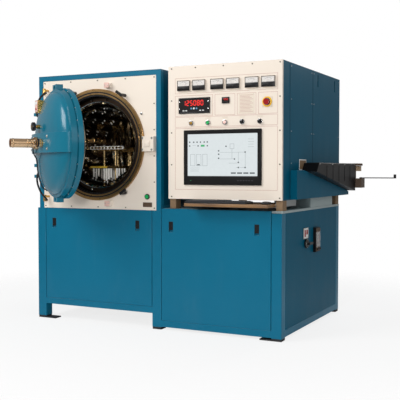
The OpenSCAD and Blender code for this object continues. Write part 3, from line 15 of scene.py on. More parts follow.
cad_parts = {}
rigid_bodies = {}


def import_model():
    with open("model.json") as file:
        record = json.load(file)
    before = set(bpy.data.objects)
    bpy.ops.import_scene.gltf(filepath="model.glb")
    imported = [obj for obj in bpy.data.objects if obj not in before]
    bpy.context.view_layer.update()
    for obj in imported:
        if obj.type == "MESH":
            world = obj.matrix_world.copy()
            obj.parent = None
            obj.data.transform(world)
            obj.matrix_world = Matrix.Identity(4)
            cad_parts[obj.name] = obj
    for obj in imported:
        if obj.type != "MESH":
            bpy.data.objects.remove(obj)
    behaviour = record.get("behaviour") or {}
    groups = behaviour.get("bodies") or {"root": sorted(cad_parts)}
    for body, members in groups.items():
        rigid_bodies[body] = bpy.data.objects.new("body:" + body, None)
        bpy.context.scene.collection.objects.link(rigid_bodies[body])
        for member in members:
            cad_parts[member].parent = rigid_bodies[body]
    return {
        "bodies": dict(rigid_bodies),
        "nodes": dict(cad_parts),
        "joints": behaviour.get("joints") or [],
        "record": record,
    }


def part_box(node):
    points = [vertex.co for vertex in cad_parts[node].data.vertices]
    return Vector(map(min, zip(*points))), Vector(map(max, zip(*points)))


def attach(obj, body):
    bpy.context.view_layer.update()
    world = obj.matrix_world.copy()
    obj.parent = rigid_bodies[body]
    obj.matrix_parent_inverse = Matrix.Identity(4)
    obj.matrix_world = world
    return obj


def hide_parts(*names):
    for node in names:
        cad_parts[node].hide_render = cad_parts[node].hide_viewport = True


LOG = logging.getLogger("furnace")
Colour = tuple[float, float, float]
Point = tuple[float, float, float]
Profile = Sequence[tuple[float, float]]
Rect = tuple[float, float, float, float]
FRONT: Point = (0, -1, 0)
REAR: Point = (0, 1, 0)
UP: Point = (0, 0, 1)
DOWN: Point = (0, 0, -1)
RIGHT: Point = (1, 0, 0)


# Shader arithmetic


class Signal:
    """A shader socket that takes part in Python arithmetic."""

    def __init__(self, book: "NodeBook", socket: bpy.types.NodeSocket) -> None:
        """Wraps an output socket of a book's tree."""
        self.book = book
        self.socket = socket

    def math(self, operation: str, *others: Any) -> "Signal":
        """Adds a Math node on this signal and further values."""
        inputs = dict(enumerate((self, *others)))
        return self.book.signal("ShaderNodeMath", 0, {"operation": operation}, inputs)

    def __add__(self, other: Any) -> "Signal":
        """Sum."""
        return self.math("ADD", other)

    def __mul__(self, other: Any) -> "Signal":
        """Product."""
        return self.math("MULTIPLY", other)

    def __sub__(self, other: Any) -> "Signal":
        """Difference."""
        return self.math("SUBTRACT", other)

    def __rsub__(self, other: Any) -> "Signal":
        """Reflected difference."""
        return (self * -1.0) + other

    def ramp(self, low: float, high: float) -> "Signal":
        """A smooth step from 0 at low to 1 at high."""
        inputs = {"Value": self, "From Min": low, "From Max": high}
        return self.book.signal("ShaderNodeMapRange", 0, {"interpolation_type": "SMOOTHSTEP"}, inputs)


class NodeBook:
    """The node tree of one material or world, with the calls that fill it."""

    def __init__(self, name: str, owner: bpy.types.World | None = None) -> None:
        """Starts an empty tree.

        Args:
            name: the name of a new material.
            owner: the world that takes the tree in place of a material.
        """
        self.owner = owner or bpy.data.materials.new(name)
        self.owner.use_nodes = True
        self.tree = self.owner.node_tree
        self.tree.nodes.clear()

    def add(self, kind: str, settings: dict | None = None, inputs: dict | None = None) -> bpy.types.Node:
        """Adds a node of any type.

        Args:
            kind: the node's type name.
            settings: the node's attributes, set first.
            inputs: socket name or index to a value, a socket or a signal.

        Returns:
            The new node.
        """
        node = self.tree.nodes.new(kind)
        for key, value in (settings or {}).items():
            setattr(node, key, value)
        for key, value in (inputs or {}).items():
            socket = node.inputs[key]
            if isinstance(value, Signal):
                self.tree.links.new(value.socket, socket)
            elif isinstance(value, bpy.types.NodeSocket):
                self.tree.links.new(value, socket)
            else:
                rgba = socket.type == "RGBA" and len(value) == 3
                socket.default_value = (*value, 1.0) if rgba else value
        return node

    def signal(
        self, kind: str, output: Any, settings: dict | None = None, inputs: dict | None = None
    ) -> Signal:
        """A new node's output as a signal."""
        return Signal(self, self.add(kind, settings, inputs).outputs[output])

    def axes(self) -> tuple[Signal, Signal, Signal]:
        """The X, Y and Z of Object coordinates."""
        node = self.add("ShaderNodeSeparateXYZ", {}, {0: self.add("ShaderNodeTexCoord").outputs["Object"]})
        return tuple(Signal(self, output) for output in node.outputs)

    def noise(
        self, scale: float, stretch: Point = (1, 1, 1), detail: float = 3.0, offset: Point = (0, 0, 0)
    ) -> Signal:
        """Noise from 0 to 1 on Object coordinates.

        Args:
            scale: waves per metre.
            stretch: factors along the axes.
            detail: number of finer layers.
            offset: shift of the pattern.

        Returns:
            The noise value.
        """
        coordinates = self.add("ShaderNodeTexCoord").outputs["Object"]
        inputs = {"Vector": coordinates, "Scale": stretch, "Location": offset}
        place = self.signal("ShaderNodeMapping", 0, {}, inputs)
        inputs = {"Vector": place, "Scale": scale, "Detail": detail, "Roughness": 0.6}
        return self.signal("ShaderNodeTexNoise", 0, {}, inputs)

    def blend(self, factor: Any, first: Any, second: Any) -> Signal:
        """A colour between two colours, by a factor from 0 to 1."""
        inputs = {0: factor, 6: first, 7: second}
        return self.signal("ShaderNodeMix", 2, {"data_type": "RGBA"}, inputs)

    def finish(self, **sockets: Any) -> bpy.types.Material:
        """Closes the material with a Principled BSDF.

        Args:
            sockets: socket names, with _ for a space, to values or signals; height drives a Bump.

        Returns:
            The material.
        """
        height = sockets.pop("height", None)
        depth = sockets.pop("depth", 0.001)
        named = {key.replace("_", " "): value for key, value in sockets.items()}
        if height is not None:
            inputs = {"Height": height, "Distance": depth, "Strength": 1.0}
            named["Normal"] = self.signal("ShaderNodeBump", 0, {}, inputs)
        shader = self.add("ShaderNodeBsdfPrincipled", {}, named)
        self.add("ShaderNodeOutputMaterial", {}, {"Surface": shader.outputs[0]})
        return self.owner


def linear(*channels: int) -> Colour:
    """Turns display values into the linear colour that shaders take.

    Args:
        channels: red, green and blue from 0 to 255.

    Returns:
        The linear colour.
    """
    shares = (value / 255 for value in channels)
    return tuple(s / 12.92 if s <= 0.04045 else ((s + 0.055) / 1.055) ** 2.4 for s in shares)


def shade(colour: Colour, factor: float) -> Colour:
    """The same colour, darker or lighter."""
    return tuple(min(1.0, part * factor) for part in colour)


# Finishes


@dataclass(frozen=True)
class Paint:
    """Sprayed enamel with faint orange peel, cloudy variation and rubbed dust."""

    name: str
    colour: Colour
    roughness: float = 0.34
    coat: float = 0.05
    gloss: float = 0.22
    clouds: float = 0.10
    dust: float = 0.015
    peel: float = 0.00012
    dust_colour: Colour = (0.50, 0.48, 0.44)

    def material(self) -> bpy.types.Material:
        """Builds the enamel.

        Returns:
            The material.
        """
        book = NodeBook(self.name)
        clouds = book.noise(2.3, detail=4)
        smears = book.noise(9, (1, 1, 0.25), 5)
        peel = book.noise(420, detail=1)
        base = book.blend(clouds, shade(self.colour, 1 - self.clouds), shade(self.colour, 1 + self.clouds))
        dusty = book.blend(smears.ramp(0.52, 0.8) * self.dust, base, self.dust_colour)
        rough = (smears - 0.5) * 0.16 + self.roughness + (clouds - 0.5) * 0.08
        return book.finish(
            Base_Color=dusty, Roughness=rough, Coat_Weight=self.coat, Coat_Roughness=0.15,
            Specular_IOR_Level=self.gloss, height=peel, depth=self.peel,
        )


@dataclass(frozen=True)
class Metal:
    """Bare metal with grain along one axis and stains."""

    name: str
    colour: Colour
    roughness: float = 0.3
    grain: Point = (1, 1, 1)
    grain_scale: float = 60
    stain: Colour = (0.25, 0.20, 0.14)
    stained: float = 0.15
    relief: float = 0.0001

    def material(self) -> bpy.types.Material:
        """Builds the metal.

        Returns:
            The material.
        """
        book = NodeBook(self.name)
        grain = book.noise(self.grain_scale, self.grain, 4)
        patches = book.noise(7, detail=5)
        base = book.blend(grain, shade(self.colour, 0.86), shade(self.colour, 1.1))
        colour = book.blend(patches.ramp(0.45, 0.75) * self.stained, base, self.stain)
        rough = (grain - 0.5) * 0.18 + self.roughness + (patches - 0.5) * 0.14
        return book.finish(
            Base_Color=colour, Metallic=1.0, Roughness=rough, height=grain, depth=self.relief
        )


@dataclass(frozen=True)
class CrumpledFoil:
    """Bright refractory sheet, buckled by heat and stained in patches."""

    name: str
    bright: Colour
    stain: Colour
    buckle: float = 0.022

    def material(self) -> bpy.types.Material:
        """Builds the foil.

        Returns:
            The material.
        """
        book = NodeBook(self.name)
        waves = book.noise(13, (1.5, 0.5, 0.5), 1)
        patches = book.noise(16, (1.6, 0.35, 0.4), 3, (3, 1, 2))
        fine = book.noise(90, (1, 0.2, 0.3), 2)
        share = (patches + (fine - 0.5) * 0.15).ramp(0.50, 0.60)
        return book.finish(
            Base_Color=book.blend(share, self.stain, self.bright), Metallic=1.0,
            Roughness=0.34 - share * 0.20, height=waves, depth=self.buckle,
        )


@dataclass(frozen=True)
class HeatTintedTube:
    """Turned tube, gold at the boss and grey towards its open end."""

    name: str
    gold: Colour
    grey: Colour
    direction: Point = (-0.5878, -0.8090, 0.0)
    start: float = 1.16
    end: float = 1.30

    def material(self) -> bpy.types.Material:
        """Builds the tinted metal.

        Returns:
            The material.
        """
        book = NodeBook(self.name)
        x, y, _ = book.axes()
        along = x * self.direction[0] + y * self.direction[1]
        vector = book.signal("ShaderNodeCombineXYZ", 0, {}, {0: along})
        turning = book.signal(
            "ShaderNodeTexWave", 1, {"wave_type": "BANDS", "bands_direction": "X"},
            {"Vector": vector, "Scale": 60.0, "Distortion": 1.5, "Detail": 2.0},
        )
        patches = book.noise(22, detail=4)
        tint = (along + (patches - 0.5) * 0.05).ramp(self.start, self.end)
        colour = book.blend(tint, self.gold, self.grey)
        return book.finish(
            Base_Color=book.blend(turning * 0.25, colour, shade(self.gold, 0.55)), Metallic=1.0,
            Roughness=turning * 0.12 + 0.22 + (patches - 0.5) * 0.1, height=turning, depth=0.0002,
        )


@dataclass(frozen=True)
class Moulding:
    """Moulded plastic or rubber with a fine skin."""

    name: str
    colour: Colour
    roughness: float = 0.45
    skin: float = 900
    clouds: float = 0.08
    gloss: float = 0.3

    def material(self) -> bpy.types.Material:
        """Builds the moulding.

        Returns:
            The material.
        """
        book = NodeBook(self.name)
        skin = book.noise(self.skin, detail=2)
        clouds = book.noise(6, detail=3)
        low, high = shade(self.colour, 1 - self.clouds), shade(self.colour, 1 + 2 * self.clouds)
        rough = (clouds - 0.5) * 0.15 + self.roughness + (skin - 0.5) * 0.1
        return book.finish(
            Base_Color=book.blend(clouds, low, high), Roughness=rough,
            Specular_IOR_Level=self.gloss, height=skin, depth=0.00008,
        )


@dataclass(frozen=True)
class Wood:
    """Varnished board with its grain along X."""

    name: str
    dark: Colour
    light: Colour
    roughness: float = 0.38

    def material(self) -> bpy.types.Material:
        """Builds the board.

        Returns:
            The material.
        """
        book = NodeBook(self.name)
        rings = book.noise(26, (0.12, 1.4, 2.2), 6)
        pores = book.noise(300, (0.05, 1, 1), 2)
        colour = book.blend(rings.ramp(0.3, 0.72), self.dark, self.light)
        rough = (pores - 0.5) * 0.2 + self.roughness
        return book.finish(Base_Color=colour, Roughness=rough, Coat_Weight=0.3, height=pores, depth=0.0001)


@dataclass(frozen=True)
class Glow:
    """A lit face, such as a digit or a lamp."""

    name: str
    colour: Colour
    strength: float = 0.8
    unlit: Colour = (0.02, 0.02, 0.02)

    def material(self) -> bpy.types.Material:
        """Builds the lit face.

        Returns:
            The material.
        """
        book = NodeBook(self.name)
        lit = book.blend(book.noise(40, detail=1), shade(self.colour, 0.92), self.colour)
        return book.finish(
            Base_Color=self.unlit, Roughness=0.2, Emission_Color=lit, Emission_Strength=self.strength
        )


@dataclass(frozen=True)
class Clear:
    """Clear cover or lens."""

    name: str
    colour: Colour = (1, 1, 1)
    roughness: float = 0.05
    alpha: float = 0.25

    def material(self) -> bpy.types.Material:
        """Builds the clear cover.

        Returns:
            The material.
        """
        book = NodeBook(self.name)
        rough = book.noise(30, detail=3) * 0.08 + self.roughness
        return book.finish(Base_Color=self.colour, Roughness=rough, Alpha=self.alpha, IOR=1.45)


# The finishes of this furnace

TEAL = linear(0, 102, 132)
# The same teal darkened: painted shade for the side and rear sheets.
TEAL_PAINTED_SHADE = linear(0, 86, 112)


class Finish(Enum):
    """Every finish by the name of its material slot."""

    FRAME_TEAL = Paint("frame_teal", TEAL)
    # Side and rear covers carry the teal darkened as painted shade.
    COVER_TEAL = Paint("cover_teal", TEAL_PAINTED_SHADE, roughness=0.4, coat=0.0, gloss=0.06)
    PANEL_TEAL = Paint("panel_teal", TEAL, clouds=0.07)
    DOOR_TEAL = Paint("door_teal", linear(2, 106, 130), roughness=0.22, coat=0.35, gloss=0.3)
    # The cabinet's sides carry the teal darkened as painted shade.
    CABINET_TEAL = Paint("cabinet_teal", TEAL_PAINTED_SHADE, roughness=0.38, coat=0.0, gloss=0.06)
    FRONT_CREAM = Paint("front_cream", linear(234, 222, 208), roughness=0.42, gloss=0.35, clouds=0.035)
    DECK_GREY = Paint(
        "deck_grey", linear(158, 172, 172), roughness=0.5, gloss=0.35, clouds=0.08, dust=0.2
    )
    PUMP_PAINT = Paint("pump_paint", linear(70, 96, 110), roughness=0.45, dust=0.2)
    WHITE_PLATE = Paint("white_plate", linear(228, 230, 228), roughness=0.35, clouds=0.03)
    FOOT_BLACK = Moulding("foot_black", linear(40, 40, 42), 0.6)
    # Black rubber; also the near-black painted shade in the chamber's throat and in the screws' cross
    # recesses.
    RUBBER_AND_PAINTED_SHADE = Moulding("seal_rubber", linear(24, 24, 26), 0.55)
    INSTRUMENT_BLACK = Moulding("instrument_black", linear(14, 12, 13), 0.35)
    MONITOR_BLACK = Moulding("monitor_black", linear(12, 11, 11), 0.32)
    CASE_BLACK = Moulding("case_black", linear(16, 15, 16), 0.36, gloss=0.14)
    LATCH_BLACK = Moulding("latch_black", linear(20, 19, 20), 0.4)
    KEYBOARD_BLACK = Moulding("keyboard_black", linear(36, 36, 39), 0.5)
    MOUSE_BLACK = Moulding("mouse_black", linear(34, 35, 38), 0.35)
    KNOB_BLACK = Moulding("knob_black", linear(22, 22, 24), 0.3)
    HOSE_RUBBER = Moulding("hose_rubber", linear(34, 35, 37), 0.5, 300)
    HEAD_BROWN = Moulding("head_brown", linear(84, 66, 52), 0.45)
    RISER_TAN = Moulding("riser_tan", linear(128, 104, 78), 0.6, 500)
    METER_FACE = Moulding("meter_face", linear(216, 208, 198), 0.4, clouds=0.03)
    LINE_PINK = Moulding("line_pink", linear(186, 142, 132), 0.5, clouds=0.02)
    LABEL_CREAM = Moulding("label_cream", linear(226, 214, 198), 0.5, clouds=0.02)
    PINK_BLOCK = Moulding("pink_block", linear(226, 188, 176), 0.45)
    STOP_RED = Moulding("stop_red", linear(150, 18, 22), 0.28, clouds=0.04)
    STOP_YELLOW = Moulding("stop_yellow", linear(240, 184, 22), 0.4)
    # Flat gold of a painted highlight on the hearth's front edge.
    HEARTH_PAINTED_HIGHLIGHT = Moulding("hearth_painted_highlight", linear(214, 176, 52), 0.28, gloss=0.8)
    START_GREEN = Moulding("start_green", linear(30, 168, 88), 0.25)
    AMBER = Moulding("amber_lens", linear(150, 112, 40), 0.15)
    KEY_CAP = Moulding("key_cap", linear(52, 52, 56), 0.55)
    CERAMIC = Moulding("ceramic", linear(244, 242, 236), 0.3, clouds=0.03)
    SHELF_BROWN = Wood("shelf_brown", linear(96, 68, 42), linear(150, 112, 72))
    CHAMBER_STEEL = Metal("chamber_steel", linear(176, 172, 168), 0.3, (1, 0.08, 1), 90, stained=0.1)
    # Dark steel: painted shade for the gap round the hot zone.
    THROAT_PAINTED_SHADE = Metal(
        "throat_painted_shade", linear(66, 52, 42), 0.32, (1, 0.3, 1), 30, linear(26, 20, 18), 0.5
    )
    # Bronze: painted reflection on the stainless chamber flange and its lands; on the recorder's coil, the
    # wire's own colour.
    BRONZE_AND_PAINTED_REFLECTION = Metal(
        "flange_bronze", linear(168, 134, 88), 0.3, (1, 0.2, 1), 40, linear(96, 74, 46), 0.4
    )
    DOOR_SHIELD = Metal(
        "door_shield_metal", linear(186, 176, 156), 0.24, (1, 1, 0.2), 14, linear(112, 96, 76), 0.3
    )
    HEARTH_METAL = Metal(
        "hearth_metal", linear(206, 178, 128), 0.26, (1, 0.15, 1), 60, linear(150, 96, 42), 0.3
    )
    TINT_STEEL = Metal(
        "tint_steel", linear(196, 168, 132), 0.22, (1, 1, 0.1), 60, linear(120, 90, 90), 0.3
    )
    COPPER = Metal("copper", linear(196, 120, 76))
    CORE_IRON = Metal("core_iron", linear(96, 84, 76), 0.55, (1, 1, 12))
    PUMP_STEEL = Metal("pump_steel", linear(176, 178, 180), 0.32)
    PLATE_ZINC = Metal("plate_zinc", linear(186, 190, 190), 0.42, grain_scale=24)
    SCREW_STEEL = Metal("screw_steel", linear(120, 114, 106), 0.36)
    COLLAR_CHROME = Metal("collar_chrome", linear(206, 206, 206), 0.14)
    FITTING_BRASS = Metal("fitting_brass", linear(204, 164, 92), 0.27)
    BOLT_ZINC = Metal("bolt_zinc", linear(196, 196, 192))
    TUBE_COPPER = HeatTintedTube("tube_copper", linear(246, 160, 70), linear(236, 200, 160))
    SHIELD_METAL = CrumpledFoil("shield_metal", linear(236, 214, 170), linear(34, 24, 18))
    ELEMENT_METAL = CrumpledFoil("element_metal", linear(240, 232, 216), linear(44, 36, 32), 0.012)
    RIBBON = CrumpledFoil("bright_ribbon", linear(250, 244, 230), linear(120, 100, 74), 0.012)
    SCREEN = Glow("screen_glass", linear(236, 244, 246), 0.86)
    SCREEN_LINE = Glow("screen_line", linear(176, 186, 188))
    SCREEN_DARK = Glow("screen_dark", linear(62, 74, 78))
    SCREEN_GREEN = Glow("screen_green", linear(70, 190, 120), 0.85)
    SCREEN_BLUE = Glow("screen_blue", linear(90, 150, 190), 0.85)
    DIGIT_RED = Glow("digit_red", linear(248, 34, 28), 1.3)
    LAMP_PINK = Glow("lamp_pink", linear(236, 190, 178), 0.55, (0.5, 0.35, 0.32))
    GLASS = Clear("meter_glass")


NODES_OF_FINISH: dict[Finish, str] = {
    Finish.FRAME_TEAL: "base_frame furnace_frame",
    Finish.FOOT_BLACK: "base_feet",
    Finish.COVER_TEAL: "base_skins furnace_skins",
    Finish.DECK_GREY: "base_deck junction_box",
    Finish.FRONT_CREAM: "furnace_front_panel control_panel",
    Finish.SCREW_STEEL: "panel_screws",
    Finish.CHAMBER_STEEL: "chamber_shell",
    # The stainless flange's bronze colour is painted reflection.
    Finish.BRONZE_AND_PAINTED_REFLECTION: "chamber_flange",
    Finish.RUBBER_AND_PAINTED_SHADE: "flange_o_ring",
    Finish.SHIELD_METAL: "hot_zone_shields",
    Finish.DOOR_SHIELD: "door_shields",
    Finish.ELEMENT_METAL: "heating_elements",
    Finish.HEARTH_METAL: "hearth",
    Finish.COPPER: "power_feedthroughs",
    Finish.CORE_IRON: "power_transformer",
    Finish.PUMP_STEEL: "diffusion_pump high_vacuum_valve vacuum_piping",
    Finish.PUMP_PAINT: "roughing_pump",
    Finish.FITTING_BRASS: "cooling_manifold door_fittings",
    Finish.CABINET_TEAL: "cabinet_shell recorder_bracket",
    Finish.PLATE_ZINC: "contactor_plate shelf_slides",
    Finish.METER_FACE: "meters",
    Finish.INSTRUMENT_BLACK: "temperature_controller",
    Finish.COLLAR_CHROME: "switch_collars",
    Finish.KNOB_BLACK: "disconnect_handle mode_selector pump_selector door_knob",
    Finish.MONITOR_BLACK: "monitor_case",
    Finish.SCREEN: "monitor_screen",
    Finish.RISER_TAN: "cabinet_risers",
    Finish.CASE_BLACK: "recorder_case recorder_arm disconnect_box",
    Finish.HEAD_BROWN: "recorder_head",
    Finish.DOOR_TEAL: "door_head door_beam hinge_brackets",
    Finish.PANEL_TEAL: "left_front_panel right_front_panel",
    Finish.LATCH_BLACK: "left_panel_latches right_panel_latches "
    "clamp_dog_upper_left clamp_dog_upper_right clamp_dog_lower_right",
    Finish.SHELF_BROWN: "keyboard_shelf",
    Finish.KEYBOARD_BLACK: "keyboard",
    Finish.MOUSE_BLACK: "mouse",
    Finish.STOP_RED: "stop_button",
    Finish.START_GREEN: "start_button",
    Finish.TUBE_COPPER: "door_port_tube",
    Finish.HOSE_RUBBER: "door_hoses",
}
FINISH_OF_NODE = {node: finish for finish, nodes in NODES_OF_FINISH.items() for node in nodes.split()}
MADE: dict[Finish, bpy.types.Material] = {}
RECORD_SLOTS: set[str] = set()


def material(finish: Finish) -> bpy.types.Material:
    """The finish's material, made once.

    Args:
        finish: the finish.

    Returns:
        The material.
    """
    if finish not in MADE:
        MADE[finish] = finish.value.material()
    return MADE[finish]


# Shaping


class Shape:
    """A bmesh that grows from primitives and becomes one finished piece."""

    def __init__(self) -> None:
        """Starts empty."""
        self.mesh = bmesh.new()

    def block(
        self, low: Point, high: Point, bevel: float = 0.0, segments: int = 2, turn: Matrix | None = None
    ) -> "Shape":
        """Adds a block with rounded edges.

        Args:
            low: the lowest corner.
            high: the highest corner.
            bevel: the edges' radius.
            segments: facets across each edge.
            turn: a turn about the block's centre.

        Returns:
            The shape.
        """
        centre = (Vector(low) + Vector(high)) / 2
        found = bmesh.ops.create_cube(self.mesh, size=1.0)["verts"]
        bmesh.ops.scale(self.mesh, vec=Vector(high) - Vector(low), verts=found)
        if bevel > 0:
            edges = list(dict.fromkeys(e for v in found for e in v.link_edges))
            made = bmesh.ops.bevel(
                self.mesh, geom=edges, offset=bevel, segments=segments,
                profile=0.5, affect="EDGES", material=-1,
            )
            left = [v for v in found if v.is_valid]
            found = list(dict.fromkeys([v for f in made["faces"] for v in f.verts] + left))
        place = Matrix.Translation(centre) @ (turn or Matrix.Identity(4))
        bmesh.ops.transform(self.mesh, matrix=place, verts=found)
        return self

    def pad(
        self, rect: Rect, face: float, proud: float, sunk: float,
        bevel: float = 0.0, segments: int = 2, turn: Matrix | None = None,
    ) -> "Shape":
        """Adds a block on a plane that faces the front.

        Args:
            rect: its left, low, right and high sides in X and Z.
            face: the plane's Y.
            proud: its reach before the plane.
            sunk: its reach behind the plane.
            bevel: the edges' radius.
            segments: facets across each edge.
            turn: a turn about the block's centre.

        Returns:
            The shape.
        """
        left, low, right, high = rect
        return self.block((left, face - proud, low), (right, face + sunk, high), bevel, segments, turn)

    def tile(self, x: float, z: float, wide: float, tall: float, *options: Any) -> "Shape":
        """Adds a pad round a centre, given half its width and height."""
        return self.pad((x - wide, z - tall, x + wide, z + tall), *options)

    def lathe(
        self, profile: Profile, at: Point, axis: Point, steps: int = 48, closed: bool = False
    ) -> "Shape":
        """Turns a profile of (radius, height) points about an axis.

        Args:
            profile: the outline, from one end of the axis to the other.
            at: the axis' origin.
            axis: the direction of height.
            steps: facets round the axis.
            closed: joins the last point to the first, for a ring.

        Returns:
            The shape.
        """
        before = set(self.mesh.verts)
        points = [self.mesh.verts.new((radius, 0, height)) for radius, height in profile]
        edges = [self.mesh.edges.new(pair) for pair in zip(points, points[1:])]
        if closed:
            edges.append(self.mesh.edges.new((points[-1], points[0])))
        bmesh.ops.spin(
            self.mesh, geom=points + edges, cent=(0, 0, 0), axis=UP, dvec=(0, 0, 0),
            angle=math.tau, steps=steps, use_merge=True, use_duplicate=False,
        )
        fresh = [v for v in self.mesh.verts if v not in before]
        bmesh.ops.remove_doubles(self.mesh, verts=fresh, dist=1e-6)
        fresh = [v for v in self.mesh.verts if v not in before]
        faces = list(dict.fromkeys(f for v in fresh for f in v.link_faces))
        bmesh.ops.recalc_face_normals(self.mesh, faces=faces)
        turn = Vector(UP).rotation_difference(Vector(axis)).to_matrix().to_4x4()
        bmesh.ops.transform(self.mesh, matrix=Matrix.Translation(at) @ turn, verts=fresh)
        return self

    def lathes(
        self, profile: Profile, spots: Iterable[Point], axis: Point, steps: int, closed: bool = False
    ) -> "Shape":
        """Turns the same profile at several spots.

        Args:
            profile: the outline.
            spots: the origins.
            axis: the direction of height.
            steps: facets round the axis.
            closed: joins the last point to the first, for a ring.

        Returns:
            The shape.
        """
        for spot in spots:
            self.lathe(profile, spot, axis, steps, closed)
        return self

    def bar(self, start: Point, end: Point, radius: float, steps: int) -> "Shape":
        """Adds a round bar between two points, with its end edges softened.

        Args:
            start: one end.
            end: the other end.
            radius: the bar's radius.
            steps: facets round it.

        Returns:
            The shape.
        """
        axis = Vector(end) - Vector(start)
        reach = axis.length
        soft = min(radius * 0.12, reach / 2.5)
        side = [(radius, soft), (radius, reach - soft)]
        profile = [(0, 0), (radius - soft, 0), *side, (radius - soft, reach), (0, reach)]
        return self.lathe(profile, start, axis.normalized(), steps)

    def hexagon(self, at: Point, axis: Point, radius: float, height: float) -> "Shape":
        """Adds a hexagon head with a chamfered top.

        Args:
            at: the seat's centre.
            axis: outward direction.
            radius: half its width over corners.
            height: the head's height.

        Returns:
            The shape.
        """
        crown = radius * 0.16
        profile = [(0, 0), (radius, 0), (radius, height - crown), (radius - crown, height), (0, height)]
        return self.lathe(profile, at, axis, 6)

    def piece(
        self, name: str, finish: Finish, body: str = "furnace", replaces: Iterable[str] = (),
        smooth: float = 35, place: Matrix | None = None, level: int = 0,
    ) -> bpy.types.Object:
        """Finishes the shape as one piece of the scene.

        Args:
            name: the piece's name.
            finish: its finish.
            body: the CAD body that it rides on.
            replaces: CAD nodes that it stands for.
            smooth: faces meeting under this angle shade smoothly.
            place: a last transform of the mesh.
            level: subdivision level, live on the piece.

        Returns:
            The object.
        """
        if place is not None:
            bmesh.ops.transform(self.mesh, matrix=place, verts=self.mesh.verts[:])
        data = bpy.data.meshes.new(name)
        self.mesh.to_mesh(data)
        self.mesh.free()
        data.shade_smooth()
        data.set_sharp_from_angle(angle=math.radians(smooth))
        data.materials.append(material(finish))
        piece = bpy.data.objects.new(name, data)
        bpy.context.scene.collection.objects.link(piece)
        if level:
            modifier = piece.modifiers.new("Round", "SUBSURF")
            modifier.levels = modifier.render_levels = level
        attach(piece, body)
        if replaces:
            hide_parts(*replaces)
        return piece


def around(count: int, shift: float = 0.0) -> list[tuple[float, float]]:
    """Cosines and sines of evenly spaced angles.

    Args:
        count: how many go round.
        shift: the first one's place, as a share of a step.

    Returns:
        The pairs.
    """
    angles = [math.tau * (i + shift) / count for i in range(count)]
    return [(math.cos(angle), math.sin(angle)) for angle in angles]


def mm(*numbers: float) -> list[tuple[float, float]]:
    """Pairs in metres from a row of millimetres, for a profile's radii and heights.

    Args:
        numbers: radius, height, radius, height and so on.

    Returns:
        The pairs.
    """
    metres = [number / 1000 for number in numbers]
    return list(zip(metres[::2], metres[1::2]))


def rim(rect: Rect, wide: float, tall: float, inset: float) -> list[Rect]:
    """The four sides of a rectangular frame.

    Args:
        rect: its left, low, right and high sides.
        wide: width of the upright sides.
        tall: height of the level sides.
        inset: how far the upright sides stay from the ends.

    Returns:
        The sides' rectangles.
    """
    left, low, right, high = rect
    foot, top = low + inset, high - inset
    level = [(left, low, right, low + tall), (left, high - tall, right, high)]
    return level + [(left, foot, left + wide, top), (right - wide, foot, right, top)]


def merged(node: str) -> bmesh.types.BMesh:
    """A copy of a CAD node's mesh, with its doubled vertices merged.

    Args:
        node: the CAD node.

    Returns:
        The mesh.
    """
    mesh = bmesh.new()
    mesh.from_mesh(bpy.data.objects[node].data)
    bmesh.ops.remove_doubles(mesh, verts=mesh.verts[:], dist=1e-5)
    return mesh


def softened(node: str, body: str, width: float, name: str = "") -> bpy.types.Object:
    """A copy of a CAD node with rounded edges, which stands for the node.

    Args:
        node: the CAD node.
        body: the body that it rides on.
        width: the edges' radius, or 0 for none.
        name: the piece's name, if not made from the node's.

    Returns:
        The piece.
    """
    shape = Shape()
    shape.mesh.free()
    shape.mesh = mesh = merged(node)
    angle = math.radians(1.0)
    bmesh.ops.dissolve_limit(mesh, angle_limit=angle, verts=mesh.verts[:], edges=mesh.edges[:])
    piece = shape.piece(name or f"{node}_finish", FINISH_OF_NODE[node], body, [node])
    if width:
        bevel = piece.modifiers.new("Edges", "BEVEL")
        bevel.width = width
        bevel.segments = 2
        bevel.limit_method = "ANGLE"
        bevel.angle_limit = math.radians(40)
        bevel.harden_normals = False
    return piece


# Stage


